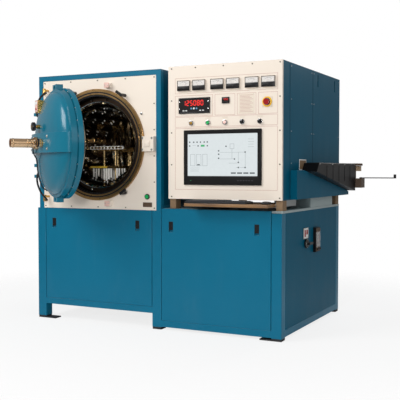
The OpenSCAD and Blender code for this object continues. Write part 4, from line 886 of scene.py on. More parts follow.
@dataclass
class Stage:
    """Camera, lamps, floor and background."""

    lens: float = 69.7
    sensor: float = 36
    camera_at: Point = (2.975, -5.78, 1.21)
    look_to: Point = (-0.448, 0.894, -0.0384)
    floor_half: float = 30.0
    floor_colour: Colour = (0.90, 0.90, 0.90)
    whiteness: float = 0.8
    fade_from: float = 1.6
    fade_to: float = 3.6
    soft_light: float = 0.42
    lamps: tuple[tuple[str, Point, Point, float, float], ...] = (
        ("key", (-2.6, -4.6, 4.6), (0, 0, 1.2), 3.0, 200),
        ("front", (1.9, -6.2, 2.3), (-0.4, 0, 1.3), 0.9, 118),
        ("fill", (4.8, -2.6, 3.0), (0, 0, 1.0), 3.0, 22),
        ("back", (1.0, 4.6, 4.2), (0, 0, 1.2), 3.0, 110),
    )

    def aimed(self, name: str, data: bpy.types.ID, at: Point, towards: Point) -> bpy.types.Object:
        """Adds a camera or a lamp that looks along a direction.

        Args:
            name: the object's name.
            data: its camera or lamp data.
            at: its place.
            towards: the direction.

        Returns:
            The object.
        """
        thing = bpy.data.objects.new(name, data)
        thing.location = at
        thing.rotation_euler = Vector(towards).to_track_quat("-Z", "Y").to_euler()
        bpy.context.scene.collection.objects.link(thing)
        return thing

    def camera(self) -> None:
        """Sets up the camera at the photograph's viewing angle."""
        data = bpy.data.cameras.new("camera")
        data.lens = self.lens
        data.sensor_width = self.sensor
        data.clip_end = 200
        bpy.context.scene.camera = self.aimed("camera", data, self.camera_at, self.look_to)

    def light(self) -> None:
        """Adds the soft square lamps."""
        for name, at, target, size, watts in self.lamps:
            data = bpy.data.lights.new(name, "AREA")
            data.size = size
            data.energy = watts
            self.aimed(name, data, at, Vector(target) - Vector(at))

    def floor(self) -> None:
        """Adds the pale floor, which fades into the white background."""
        mesh = bmesh.new()
        bmesh.ops.create_grid(mesh, x_segments=1, y_segments=1, size=self.floor_half)
        data = bpy.data.meshes.new("floor")
        mesh.to_mesh(data)
        mesh.free()
        book = NodeBook("floor")
        tone = book.blend(book.noise(1.5, detail=2), shade(self.floor_colour, 0.99), self.floor_colour)
        x, y, _ = book.axes()
        fade = (x * x + y * y).ramp(self.fade_from**2, self.fade_to**2)
        inputs = {"Base Color": tone, "Roughness": 0.85, "Alpha": 1.0 - fade}
        surface = book.signal("ShaderNodeBsdfPrincipled", 0, {}, inputs)
        white = book.signal("ShaderNodeEmission", 0, {}, {"Strength": 1.0})
        clear = book.signal("ShaderNodeBsdfTransparent", 0)
        lit = book.signal("ShaderNodeMixShader", 0, {}, {0: fade, 1: white, 2: clear})
        seen = book.signal("ShaderNodeLightPath", "Is Camera Ray") * self.whiteness
        mixed = book.signal("ShaderNodeMixShader", 0, {}, {0: seen, 1: surface, 2: lit})
        book.add("ShaderNodeOutputMaterial", {}, {"Surface": mixed})
        data.materials.append(book.owner)
        floor = bpy.data.objects.new("floor", data)
        bpy.context.scene.collection.objects.link(floor)

    def world(self) -> None:
        """White to the camera and through glass, soft light on the object."""
        book = NodeBook("studio", bpy.data.worlds.new("studio"))
        bpy.context.scene.world = book.owner
        path = book.add("ShaderNodeLightPath")
        camera = Signal(book, path.outputs["Is Camera Ray"])
        seen = camera.math("MAXIMUM", path.outputs["Is Transmission Ray"])
        soft = book.signal("ShaderNodeBackground", 0, {}, {"Strength": self.soft_light})
        white = book.signal("ShaderNodeBackground", 0, {}, {"Color": (1, 1, 1), "Strength": 1.0})
        mix = book.signal("ShaderNodeMixShader", 0, {}, {0: seen, 1: soft, 2: white})
        book.add("ShaderNodeOutputWorld", {}, {"Surface": mix})

    def build(self) -> None:
        """Makes the whole stage."""
        self.camera()
        self.floor()
        self.world()
        self.light()
        bpy.context.scene.view_settings.view_transform = "Standard"


# The CAD's own pieces


@dataclass
class Carcass:
    """The welded frames, covers and panels, with softened edges.

    Each row of edges has a body, a CAD node that rides on it and its edges' radius in
    millimetres.
    """

    edges: tuple[tuple[str, str, float], ...] = (
        ("furnace", "furnace_front_panel", 1.6),
        ("furnace", "control_panel", 2.5),
        ("left_cover", "left_front_panel", 2.5),
        ("right_cover", "right_front_panel", 2.5),
        ("furnace", "base_frame", 3.5),
        ("furnace", "furnace_frame", 2.5),
        ("furnace", "base_skins", 2.5),
        ("furnace", "furnace_skins", 2.5),
        ("furnace", "recorder_bracket", 1.5),
        ("furnace", "recorder_case", 3),
        ("furnace", "recorder_head", 2),
        ("swing_arm", "recorder_arm", 1.5),
        ("furnace", "hinge_brackets", 1.5),
        ("door", "door_beam", 4),
        ("door", "door_head", 2),
        ("furnace", "chamber_flange", 2),
        ("furnace", "junction_box", 2),
        ("furnace", "cabinet_risers", 3),
        ("keyboard_drawer", "keyboard_shelf", 4),
        ("furnace", "monitor_case", 4),
        ("left_latches", "left_panel_latches", 1.2),
        ("right_latches", "right_panel_latches", 1.2),
        ("dog_upper_left", "clamp_dog_upper_left", 2),
        ("dog_upper_right", "clamp_dog_upper_right", 2),
        ("dog_lower_right", "clamp_dog_lower_right", 2),
        ("furnace", "base_feet", 1.5),
        ("furnace", "disconnect_box", 1.2),
        ("disconnect_lever", "disconnect_handle", 1.2),
        ("furnace", "temperature_controller", 1.4),
        ("furnace", "cabinet_shell", 0.8),
    )

    def dress_nodes(self, nodes: dict[str, bpy.types.Object]) -> None:
        """Gives every CAD node its finish.

        Args:
            nodes: the CAD nodes by name.
        """
        for name, node in nodes.items():
            finish = material(FINISH_OF_NODE[name])
            if not node.material_slots:
                node.data.materials.append(finish)
            for slot in node.material_slots:
                slot.material = finish

    def build(self) -> None:
        """Rounds the edges of the nodes that show most."""
        for body, node, millimetres in self.edges:
            softened(node, body, millimetres / 1000)


# Door


@dataclass
class Door:
    """The open door: fittings, port rings, knob, bolts, hoses and its inner face.

    Its own frame runs a to the right, b upwards and t outwards from the rim plane.
    """

    hinge: Point = (-0.955, -0.740, 1.410)
    opened: float = 36.0
    to_axis: float = 0.471
    rim_back: float = 0.033
    knob_at: tuple[float, float] = (-0.040, 0.125)
    knob_lobes: int = 10
    flute: float = 0.0012
    sight_a: float = 0.105
    beam_top: float = 0.226
    skirt: float = 0.090
    skirt_r: float = 0.404
    rim_screw_r: float = 0.4062

    def frame(self) -> Matrix:
        """The door's own frame, as it stands open.

        Returns:
            The matrix from that frame to the furnace's.
        """
        turn = Matrix.Rotation(math.radians(-self.opened), 4, "Z")
        upright = Matrix(((1, 0, 0, 0), (0, 0, -1, 0), (0, 1, 0, 0), (0, 0, 0, 1)))
        shift = Matrix.Translation((self.to_axis, self.rim_back, 0))
        return Matrix.Translation(self.hinge) @ turn @ shift @ upright

    def add(
        self, shape: Shape, name: str, finish: Finish, body: str = "door", replaces: Iterable[str] = ()
    ) -> None:
        """Finishes a shape that was made in the door's own frame.

        Args:
            shape: the shape.
            name: the piece's name.
            finish: its finish.
            body: the CAD body that it rides on.
            replaces: CAD nodes that it stands for.
        """
        shape.piece(name, finish, body, replaces, place=self.frame())

    def knob(self) -> None:
        """The vent knob: stem, hub and a fluted grip."""
        a, b = self.knob_at
        side = mm(0, 0, 20, 0, 31.2, 3, 33, 6, 33, 22, 30.5, 26.5, 16, 28, 0, 27.2)
        grip = Shape().lathe(side, (a, b, 0.2262), UP, 60)
        for vertex in grip.mesh.verts:
            out = Vector((vertex.co.x - a, vertex.co.y - b, 0))
            if out.length > 0.030:
                lobe = math.cos(math.atan2(out.y, out.x) * self.knob_lobes)
                vertex.co -= out.normalized() * self.flute * (1 + lobe)
        self.add(grip, "vent_knob_grip", Finish.KNOB_BLACK, "vent_knob", ["door_knob"])
        stem = Shape().bar((a, b, 0.150), (a, b, 0.2265), 0.0048, 20)
        stem.lathe(mm(0, 0, 9, 0, 9, 3, 7.5, 5, 0, 5), (a, b, 0.2155), UP, 24)
        stem.lathe(mm(0, 0, 10, 0, 10, 1.6, 7.5, 2.6, 0, 2.6), (a, b, 0.2540), UP, 24)
        self.add(stem, "vent_knob_stem", Finish.FITTING_BRASS, "vent_knob")

    def port(self) -> None:
        """Collar rings and end lip of the port tube, and the collar's screws."""
        rings = Shape()
        for t, radius, height in ((248.5, 38.5, 10), (268, 35, 4), (300, 34.6, 2.5), (402, 35.2, 5)):
            inner, edge = 33.1, radius - 1
            wall = mm(inner, 0, edge, 0, radius, 1, radius, height - 1, edge, height, inner, height)
            rings.lathe(wall, (0, 0, t / 1000), UP, 64, closed=True)
        self.add(rings, "port_rings", Finish.TINT_STEEL)
        screws = Shape()
        for cosine, sine in around(6, 0.5):
            screws.hexagon((0.0405 * cosine, 0.0405 * sine, 0.2482), UP, 0.0042, 0.0045)
        self.add(screws, "port_collar_screws", Finish.BOLT_ZINC)

    def sight_port(self) -> None:
        """Black hood, chrome rings and lens of the sight port."""
        hood = mm(21, 0, 30.6, 0, 31.2, 1, 31.2, 12, 29.5, 14, 23, 14, 21, 11)
        ring = mm(30, 0, 32.2, 0.8, 32.6, 2.2, 32.2, 3.6, 30, 4.2)
        lens = mm(0, 0.5, 12, 1.2, 20.5, 0.2, 20.5, -0.4, 0, -0.4)
        for name, finish, side, heights, steps, closed in (
            ("hood", Finish.KNOB_BLACK, hood, (0.2455,), 56, True),
            ("rings", Finish.COLLAR_CHROME, ring, (0.2285, 0.2405), 56, True),
            ("lens", Finish.RUBBER_AND_PAINTED_SHADE, lens, (0.2606,), 40, False),
        ):
            spots = [(self.sight_a, 0, t) for t in heights]
            self.add(Shape().lathes(side, spots, UP, steps, closed), f"sight_port_{name}", finish)

    def bolts(self) -> None:
        """Bolt heads with washers on the beam's curved face, and screws round the rim."""
        heads = Shape()
        rise = self.beam_top - self.skirt
        for a, b in product((-0.240, 0.200), (0.045, -0.045)):
            share = math.sqrt(1 - (a / self.skirt_r) ** 2)
            out = Vector((a / self.skirt_r**2, 0, share / rise)).normalized()
            spot = Vector((a, b, self.skirt + rise * share)) - out * 0.0006
            heads.lathe(mm(0, 0, 10.5, 0, 10.5, 1.6, 9.8, 2.2, 0, 2.2), spot, out, 24)
            heads.hexagon(spot + out * 0.0020, out, 0.0078, 0.0052)
        self.add(heads, "beam_bolts", Finish.BOLT_ZINC)
        radius = self.rim_screw_r
        clear = [pair for pair in around(24, 0.5) if 0.30 <= abs(pair[1]) <= 0.97]
        spots = [(radius * cosine, radius * sine, 0.0369) for cosine, sine in clear]
        rim_screws = Shape().lathes(mm(0, 0, 4.6, 0, 4.6, 1.8, 3.6, 2.6, 0, 2.6), spots, UP, 12)
        self.add(rim_screws, "rim_screws", Finish.BOLT_ZINC)

    def switch_box(self) -> None:
        """The interlock box above the beam: lid, label, lamp and screws."""
        lid = Shape().block((-0.151, 0.241, 0.1938), (-0.089, 0.325, 0.1968), 0.003)
        self.add(lid, "interlock_lid", Finish.PINK_BLOCK)
        label = Shape().block((-0.146, 0.296, 0.1966), (-0.094, 0.318, 0.1986), 0.001)
        self.add(label, "interlock_label", Finish.WHITE_PLATE)
        dome = mm(0, 0, 10, 0, 9.8, 3, 6, 5.6, 0, 6.4)
        lamp = Shape().lathe(dome, (-0.120, 0.262, 0.1966), UP, 28)
        self.add(lamp, "interlock_lamp", Finish.STOP_RED)
        spots = product((-0.146, -0.094), (0.247, 0.288), (0.1966,))
        screws = Shape().lathes(mm(0, 0, 3.2, 0, 3, 1.2, 0, 1.6), spots, UP, 14)
        self.add(screws, "interlock_screws", Finish.BOLT_ZINC)

    def inner_face(self) -> None:
        """Fixing studs with nuts on the door's inner shields."""
        studs = Shape()
        for radius, count in ((0.270, 12), (0.140, 6)):
            for cosine, sine in around(count, 0.5):
                a, b = radius * cosine, radius * sine
                studs.bar((a, b, -0.0435), (a, b, -0.0535), 0.0034, 10)
                studs.hexagon((a, b, -0.0438), DOWN, 0.0072, 0.0052)
        self.add(studs, "door_shield_studs", Finish.ELEMENT_METAL)

    def build(self) -> None:
        """Makes every piece of the door, and smooth hoses from the swept CAD tubes."""
        self.knob()
        self.port()
        self.sight_port()
        self.bolts()
        self.switch_box()
        self.inner_face()
        softened("door_hoses", "door", 0, "door_hose_tubes").data.shade_smooth()


# Chamber


@dataclass
class Chamber:
    """What shows in and round the open chamber."""

    axis_x: float = -0.484
    axis_z: float = 1.410
    face_y: float = -0.705
    strip_r: float = 0.298
    strips: int = 16
    pin_rows: tuple[float, ...] = (-0.560, -0.420, -0.280, -0.140)
    nuts: int = 16
    nut_r: float = 0.358
    ribbon_pitch: float = 0.078
    ribbon_r: float = 0.270
    ribbon_wave: float = 0.23
    ribbon_half: float = 0.011
    rear_face: float = -0.060

    def pins(self) -> None:
        """Ceramic pins with bright washers on the heating strips, in rows along the zone."""
        pins, washers = Shape(), Shape()
        for cosine, sine in around(self.strips):
            out, along = Vector((cosine, 0, sine)), Vector((-sine, 0, cosine))
            for y, side in product(self.pin_rows, (-0.014, 0.014)):
                spot = Vector((self.axis_x, y, self.axis_z)) + out * (self.strip_r + 0.0002) + along * side
                washers.lathe(mm(0, 0, 7.2, 0, 7, 1.2, 0, 1.2), spot, -out, 14)
                pins.lathe(mm(0, 0, 4.6, 0, 4.4, 8.5, 2.6, 10.4, 0, 10.6), spot - out * 0.001, -out, 12)
        pins.piece("strip_pins", Finish.CERAMIC)
        washers.piece("strip_washers", Finish.COLLAR_CHROME)

    def hearth_fittings(self) -> None:
        """White collars on the hearth bar, ceramic rods under the plate, and a gold strip of painted
        highlight on the left part of its front edge.
        """
        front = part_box("hearth")[0].y
        collar = mm(9, 0, 12.8, 1, 13.8, 5, 13.8, 20, 12.8, 24, 9, 25)
        spots = [(self.axis_x + (i - 5) * 0.0285, front + 0.002, 1.390) for i in range(11)]
        Shape().lathes(collar, spots, REAR, 20, closed=True).piece("hearth_collars", Finish.CERAMIC)
        rods = Shape()
        for across, long, radius in (
            (-125, 70, 8), (-100, 82, 7), (-78, 60, 7), (-24, 94, 8), (-2, 100, 8.5),
            (20, 88, 8), (42, 74, 7), (96, 78, 7.5), (118, 62, 7),
        ):
            rod = mm(0, 0, radius, 0, radius, long - 3, radius - 3, long, 0, long + 0.3)
            x = self.axis_x + across / 1000
            rods.lathes(rod, [(x, front + depth, 1.2255) for depth in (0.012, 0.090)], DOWN, 18)
        rods.piece("hearth_ceramics", Finish.CERAMIC)
        # Painted highlight: a gold strip on the left part of the hearth's front edge only, where the metal
        # would shine.
        rect = (self.axis_x - 0.150, 1.2275, self.axis_x + 0.010, 1.2430)
        Shape().pad(rect, front, 0.0016, 0.0006, 0.0008).piece("hearth_edge", Finish.HEARTH_PAINTED_HIGHLIGHT)

    def ribbon(self, shape: Shape, column: int) -> None:
        """Adds one wavy ribbon.

        Args:
            shape: the shape that it joins.
            column: its place from the middle, in pitches.
        """
        mesh = shape.mesh
        across = column * self.ribbon_pitch
        half = math.sqrt(max(0.0, self.ribbon_r**2 - across**2))
        steps = max(8, round(half / 0.012))
        rows = []
        for k in range(steps + 1):
            z = -half + 2 * half * k / steps
            wave = math.tau * (z + 0.02 * column) / self.ribbon_wave
            twist = 0.35 * math.sin(wave * 0.5 + column)
            reach = Vector((math.cos(twist), math.sin(twist), 0)) * self.ribbon_half
            x = self.axis_x + across + 0.010 * math.sin(wave)
            y = self.rear_face - 0.020 + 0.009 * math.cos(wave + 0.8)
            front = Vector((x, y, self.axis_z + z))
            rear = front + Vector((0, 0.0012, 0))
            corners = (front - reach, front + reach, rear + reach, rear - reach)
            rows.append([mesh.verts.new(corner) for corner in corners])
        for first, second in zip(rows, rows[1:]):
            for k in range(4):
                n = (k + 1) % 4
                mesh.faces.new((first[k], first[n], second[n], second[k]))
        mesh.faces.new(tuple(reversed(rows[0])))
        mesh.faces.new(tuple(rows[-1]))

    def ribbons(self) -> None:
        """Bright ribbons that hang before the rear shield."""
        shape = Shape()
        for column in range(-3, 4):
            self.ribbon(shape, column)
        bmesh.ops.recalc_face_normals(shape.mesh, faces=shape.mesh.faces[:])
        shape.piece("rear_ribbons", Finish.RIBBON, smooth=50)

    def flange(self) -> None:
        """Turned lands on the flange, whose bronze colour is painted reflection on stainless steel, and the
        rings of the throat behind it, where the near-black ring and the dark plate are painted shade.

        Each ring has, in millimetres, its radii, place behind the face, length and edge radius.
        """
        lands = ((423.5, 427.5, -0.8, 2, 0.4), (392.5, 395, -0.8, 2, 0.4), (404.5, 406, -0.6, 1.6, 0.3))
        for name, finish, rings in (
            ("flange_lands", Finish.BRONZE_AND_PAINTED_REFLECTION, lands),
            # Painted shade: a near-black ring and a dark plate stand for the shade in the gap behind the
            # flange.
            ("dark_throat_ring", Finish.RUBBER_AND_PAINTED_SHADE, ((379.5, 389.6, 6, 45, 1),)),
            ("throat_plate", Finish.THROAT_PAINTED_SHADE, ((333, 379.2, 53.5, 1.2, 0.4),)),
            ("bright_bead", Finish.COLLAR_CHROME, ((336.5, 341.5, 49.5, 4, 1.2),)),
        ):
            shape = Shape()
            for inner, outer, behind, long, soft in rings:
                left, right, end = inner + soft, outer - soft, long - soft
                front = (inner, soft, left, 0, right, 0, outer, soft)
                side = mm(*front, outer, end, right, long, left, long, inner, end)
                at = (self.axis_x, self.face_y + behind / 1000, self.axis_z)
                shape.lathe(side, at, REAR, 128, closed=True)
            shape.piece(name, finish)

    def throat_nuts(self) -> None:
        """Studs with hexagon nuts round the throat plate."""
        shape = Shape()
        y = self.face_y + 0.0535
        for cosine, sine in around(self.nuts, 0.5):
            x, z = self.axis_x + self.nut_r * cosine, self.axis_z + self.nut_r * sine
            shape.hexagon((x, y, z), FRONT, 0.0082, 0.006)
            shape.bar((x, y, z), (x, y - 0.011, z), 0.0038, 10)
        shape.piece("throat_nuts", Finish.ELEMENT_METAL)

    def build(self) -> None:
        """Makes the chamber's pieces."""
        self.pins()
        self.hearth_fittings()
        self.ribbons()
        self.flange()
        self.throat_nuts()


# Front of the chamber box


@dataclass
class FurnaceFront:
    """Small hardware on the cream plate round the chamber."""

    button: tuple[float, float] = (-0.025, 1.009)
    pin: tuple[float, float] = (-0.075, 1.642)
    receiver_x: float = -0.366
    receiver_z: tuple[float, float] = (0.952, 1.868)

    def __post_init__(self) -> None:
        """Reads the front planes of the latch block and of the plate."""
        self.block_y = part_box("furnace_front_panel")[0].y
        self.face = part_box("panel_screws")[0].y + 0.003

    def latch_block(self) -> None:
        """Bolts and keeper on the latch block."""
        spots = list(product((-0.046, 0.036), (self.block_y + 0.0002,), (1.366, 1.453)))
        bolts = Shape().lathes(mm(0, 0, 8.5, 0, 8.3, 1.2, 0, 1.2), spots, FRONT, 24)
        for x, y, z in spots:
            bolts.hexagon((x, y - 0.001, z), FRONT, 0.0068, 0.0048)
        bolts.piece("latch_block_bolts", Finish.BOLT_ZINC)
        keeper = Shape().pad((-0.030, 1.3875, 0.020, 1.4315), self.block_y, 0.0062, 0.0002, 0.0022)
        keeper.pad((-0.020, 1.3975, 0.010, 1.4215), self.block_y, 0.0095, -0.0055, 0.0018)
        keeper.piece("latch_keeper", Finish.FRONT_CREAM)

    def knobs(self) -> None:
        """The round button with its green face, the plain pin and the brown plate."""
        ring = mm(0, 0, 21.5, 0, 22, 1.5, 20.5, 7.5, 18, 9, 16.5, 8.2, 0, 8.2)
        face = mm(0, 0, 15, 0, 14.8, 2, 10.5, 3.6, 0, 4.2)
        pin = mm(0, 0, 9, 0, 9, 2, 5.5, 3, 5.5, 11, 4.2, 12.8, 0, 13)
        for name, finish, side, (x, z), lift, steps in (
            ("drain_button_ring", Finish.KNOB_BLACK, ring, self.button, -0.0002, 48),
            ("drain_button_face", Finish.START_GREEN, face, self.button, 0.0078, 40),
            ("door_stop_pin", Finish.COLLAR_CHROME, pin, self.pin, -0.0002, 28),
        ):
            Shape().lathe(side, (x, self.face - lift, z), FRONT, steps).piece(name, finish)
        plate = Shape().pad((-0.063, 0.930, 0.017, 0.965), self.face, 0.0016, 0.0002, 0.0006, 1)
        plate.piece("brown_plate", Finish.HEAD_BROWN)

    def receivers(self) -> None:
        """The pale wear pads on the receivers, with their screws."""
        pads, screws = Shape(), Shape()
        for z in self.receiver_z:
            pads.tile(self.receiver_x, z, 0.022, 0.020, self.block_y, 0.0035, 0.0004, 0.0014)
            spots = [(self.receiver_x + dx, self.block_y - 0.0034, z) for dx in (-0.014, 0.014)]
            screws.lathes(mm(0, 0, 4.2, 0, 4, 1.4, 1.8, 1.6, 0, 1), spots, FRONT, 18)
        pads.piece("receiver_pads", Finish.PINK_BLOCK)
        screws.piece("receiver_screws", Finish.BOLT_ZINC)

    def recesses(self) -> None:
        """Painted shade in the cross recesses of the panel screws, as thin dark bars."""
        marks = Shape()
        mesh = merged("panel_screws")
        left = dict.fromkeys(mesh.verts)
        while left:
            stack, group = [left.popitem()[0]], []
            while stack:
                vertex = stack.pop()
                group.append(vertex.co.copy())
                for edge in vertex.link_edges:
                    other = edge.other_vert(vertex)
                    if other in left:
                        del left[other]
                        stack.append(other)
            centre = sum(group, Vector()) / len(group)
            front = min(co.y for co in group)
            turn = Matrix.Rotation(math.radians(round(centre.z * 977) % 7 * 13), 4, "Y")
            for wide, tall in ((0.0034, 0.0006), (0.0006, 0.0034)):
                marks.tile(centre.x, centre.z, wide, tall, front, 0.00025, 0.0001, 0, 1, turn)
        mesh.free()
        # Painted shade in the screws' recesses.
        marks.piece("screw_recesses", Finish.RUBBER_AND_PAINTED_SHADE)

    def build(self) -> None:
        """Makes the front's pieces."""
        self.latch_block()
        self.knobs()
        self.receivers()
        self.recesses()


# Base


@dataclass
class Base:
    """Washers on the anchor plates, and ribs on the latches."""

    inset: float = 0.020
    latch_z: float = 0.785
    rib_inset: float = 0.022
    rib_pitch: float = 0.008

    def washers(self) -> None:
        """Washers on the anchor plates, beside the floor holes."""
        low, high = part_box("base_feet")
        xs, ys = ((start + self.inset, end - self.inset) for start, end in ((low.x, high.x), (low.y, high.y)))
        spots = product(xs, ys, (high.z - 0.0002,))
        washers = Shape().lathes(mm(0, 0, 10, 0, 9.8, 1.4, 0, 1.4), spots, UP, 20)
        washers.piece("foot_washers", Finish.BOLT_ZINC)

    def ribs(self) -> None:
        """Finger ribs on the latches."""
        for side in ("left", "right"):
            low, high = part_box(f"{side}_panel_latches")
            ribs = Shape()
            for x, i in product((low.x + self.rib_inset, high.x - self.rib_inset), range(4)):
                z = self.latch_z + (i - 1.5) * self.rib_pitch
                ribs.tile(x, z, 0.011, 0.0014, low.y, 0.0010, 0.0006, 0.0006, 1)
            ribs.piece(f"{side}_panel_latches_ribs", Finish.LATCH_BLACK, f"{side}_latches")

    def build(self) -> None:
        """Makes the base's pieces."""
        self.washers()
        self.ribs()


# Right side


@dataclass
class SideUnit:
    """Flow meter, disconnect trim, cabinet plates and recorder details on the right side."""

    wall: float = 1.065
    front: float = -0.690
    tube_pitch: float = 0.0335
    screw_zs: tuple[float, ...] = (1.02, 1.26, 1.49, 1.72, 1.955)
    screw_depths: tuple[float, ...] = (0.185, 0.640, 0.690, 1.350)

    def y(self, depth: float) -> float:
        """Y at a depth in metres behind the front."""
        return self.front + depth

    def plates(self, name: str, finish: Finish, *rows: tuple[float, ...]) -> None:
        """Makes one piece of thin plates on the side wall.

        Args:
            name: the piece's name.
            finish: its finish.
            rows: each plate in millimetres: inner and outer face from the wall, nearest and
                farthest depth, foot, top and edge radius.
        """
        shape = Shape()
        for row in rows:
            inner, outer, near, far, foot, top, soft = (number / 1000 for number in row)
            low = (self.wall + inner, self.y(near), foot)
            shape.block(low, (self.wall + outer, self.y(far), top), soft, 1)
        shape.piece(name, finish)

    def flow_meter(self) -> None:
        """Three clear tubes with floats, end blocks and valve knobs."""
        ends, tubes, floats, knobs = Shape(), Shape(), Shape(), Shape()
        face = self.wall + 0.022
        knob = mm(0, 0, 8.5, 0, 8.8, 1, 8, 8, 6.6, 9.4, 0, 9.6)
        for i in range(3):
            y = self.y(0.709) + i * self.tube_pitch
            for z in (0.595, 0.742):
                low = (face - 0.0004, y - 0.0125, z - 0.014)
                ends.block(low, (face + 0.0055, y + 0.0125, z + 0.014), 0.002)
            x = face + 0.0035
            tubes.bar((x, y, 0.607), (x, y, 0.730), 0.0052, 20)
            floats.lathe(mm(0, -4, 3, 0, 3, 3, 0, 4.2), (x, y, 0.643 + 0.021 * i), UP, 16)
            knobs.lathe(knob, (face + 0.0050, y, 0.595), RIGHT, 20)
        ends.piece("flow_end_blocks", Finish.HEAD_BROWN)
        tubes.piece("flow_tubes", Finish.GLASS)
        floats.piece("flow_floats", Finish.STOP_RED)
        knobs.piece("flow_knobs", Finish.KNOB_BLACK)

    def disconnect(self) -> None:
        """Ring, plate, label and screws of the rotary disconnect."""
        ring = mm(28.5, 0, 32, 0, 31.6, 1.4, 28.9, 1.4)
        at = (self.wall + 0.0158, self.y(0.508), 0.655)
        Shape().lathe(ring, at, RIGHT, 56, closed=True).piece("disconnect_ring", Finish.BOLT_ZINC)
        self.plates("disconnect_plate", Finish.WHITE_PLATE, (3.6, 5.2, 453.5, 560.5, 692.5, 771.5, 0.7))
        label = (4.8, 6, 470, 500, 706, 758, 0.4), (4.8, 6, 512, 548, 722, 758, 0.4)
        self.plates("disconnect_label", Finish.STOP_RED, *label)
        spots = product((self.wall + 0.0050,), (self.y(0.461), self.y(0.553)), (0.699, 0.765))
        screws = Shape().lathes(mm(0, 0, 4.4, 0, 4.2, 1.5, 1.5, 1.8, 0, 0.9), spots, RIGHT, 18)
        screws.piece("disconnect_screws", Finish.BOLT_ZINC)

    def wall_trim(self) -> None:
        """Seams, sticker place and screws of the cabinet's side."""
        seams = (-0.2, 1, 664, 666, 1003, 1975, 0.3), (-0.2, 0.8, 160, 161.2, 1003, 1975, 0.2)
        self.plates("side_seams", Finish.RUBBER_AND_PAINTED_SHADE, *seams)
        self.plates("side_plate_rim", Finish.WHITE_PLATE, (-0.2, 1, 355, 514, 1212, 1291, 0.4))
        self.plates("side_plate", Finish.RISER_TAN, (0.6, 1.5, 363, 506, 1219, 1284, 0.3))
        ys = [self.y(depth) for depth in self.screw_depths]
        spots = product((self.wall - 0.0002,), ys, self.screw_zs)
        screws = Shape().lathes(mm(0, 0, 4.4, 0, 4.1, 1.4, 1.4, 1.7, 0, 0.9), spots, RIGHT, 16)
        screws.piece("side_screws", Finish.BOLT_ZINC)

    def recorder(self) -> None:
        """Ribs, screws and coil of the recorder."""
        low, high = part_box("recorder_case")
        ribs = Shape()
        for i in range(5):
            y = low.y + 0.250 + i * 0.160
            foot = (high.x - 0.0004, y - 0.004, low.z + 0.085)
            ribs.block(foot, (high.x + 0.0022, y + 0.004, high.z - 0.018), 0.0012)
        start = (low.x + 0.012, low.y + 0.075, high.z - 0.0004)
        ribs.block(start, (high.x - 0.012, high.y - 0.02, high.z + 0.003), 0.0014)
        ribs.piece("recorder_ribs", Finish.CASE_BLACK)
        ys = (low.y + 0.075, low.y + 0.40, low.y + 0.73, high.y - 0.02)
        spots = product((high.x - 0.0002,), ys, (high.z - 0.008,))
        screws = Shape().lathes(mm(0, 0, 4.8, 0, 4.5, 1.6, 1.6, 1.9, 0, 1), spots, RIGHT, 18)
        screws.piece("recorder_screws", Finish.BOLT_ZINC)
        low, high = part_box("recorder_head")
        wire = mm(54, -4.2, 60, -4.2, 62.2, 0, 60, 4.2, 54, 4.2)
        spots = [(self.wall + 0.087, low.y + 0.080, high.z - 0.026 - 0.0092 * i) for i in range(5)]
        Shape().lathes(wire, spots, UP, 48, closed=True).piece("recorder_coil", Finish.BRONZE_AND_PAINTED_REFLECTION)

    def build(self) -> None:
        """Makes the side unit's pieces."""
        self.flow_meter()
        self.disconnect()
        self.wall_trim()
        self.recorder()


# Rear and inside


@dataclass
class Rear:
    """Louvres and screws of the rear covers, and the contactors' covers and terminals."""

    covers: tuple[tuple[float, float], ...] = ((-0.78, -0.22), (0.26, 0.82))
    slats: int = 7
    slat_foot: float = 0.56
    slat_pitch: float = 0.030

    def louvres(self) -> None:
        """Pressed louvres and screws on the rear covers."""
        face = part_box("base_skins")[1].y
        slats, screws = Shape(), Shape()
        for left, right in self.covers:
            for i in range(self.slats):
                z = self.slat_foot + i * self.slat_pitch
                slats.pad((left, z, right, z + 0.009), face, 0.0006, 0.0034, 0.0026)
            xs = (left - 0.12, (left + right) / 2, right + 0.12)
            spots = product(xs, (face - 0.0002,), (0.20, 0.82))
            screws.lathes(mm(0, 0, 4.8, 0, 4.5, 1.5, 1.6, 1.8, 0, 1), spots, REAR, 16)
        slats.piece("rear_louvres", Finish.COVER_TEAL)
        screws.piece("rear_screws", Finish.BOLT_ZINC)

    def terminals(self) -> None:
        """Terminal screws and covers on the contactors."""
        low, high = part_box("contactor_plate")
        covers, screws = Shape(), Shape()
        for column, row in product(range(6), (0.14, 0.38, 0.62, 0.86)):
            x = low.x + (0.10 + 0.16 * column) * (high.x - low.x)
            z = low.z + row * (high.z - low.z)
            covers.tile(x, z, 0.032, 0.030, low.y, 0.004, 0.001, 0.0022)
            spots = product((x - 0.022, x, x + 0.022), (low.y + 0.0002,), (z - 0.045, z + 0.045))
            screws.lathes(mm(0, 0, 5, 0, 4.8, 1.2, 0, 1.4), spots, FRONT, 10)
        covers.piece("contactor_covers", Finish.INSTRUMENT_BLACK)
        screws.piece("contactor_terminals", Finish.FITTING_BRASS)

    def build(self) -> None:
        """Makes the rear's pieces."""
        self.louvres()
        self.terminals()


# Control panel

SEGMENTS = {"0": "abcdef", "1": "bc", "2": "abged", "3": "abgcd", "5": "afgcd", "8": "abcdefg"}


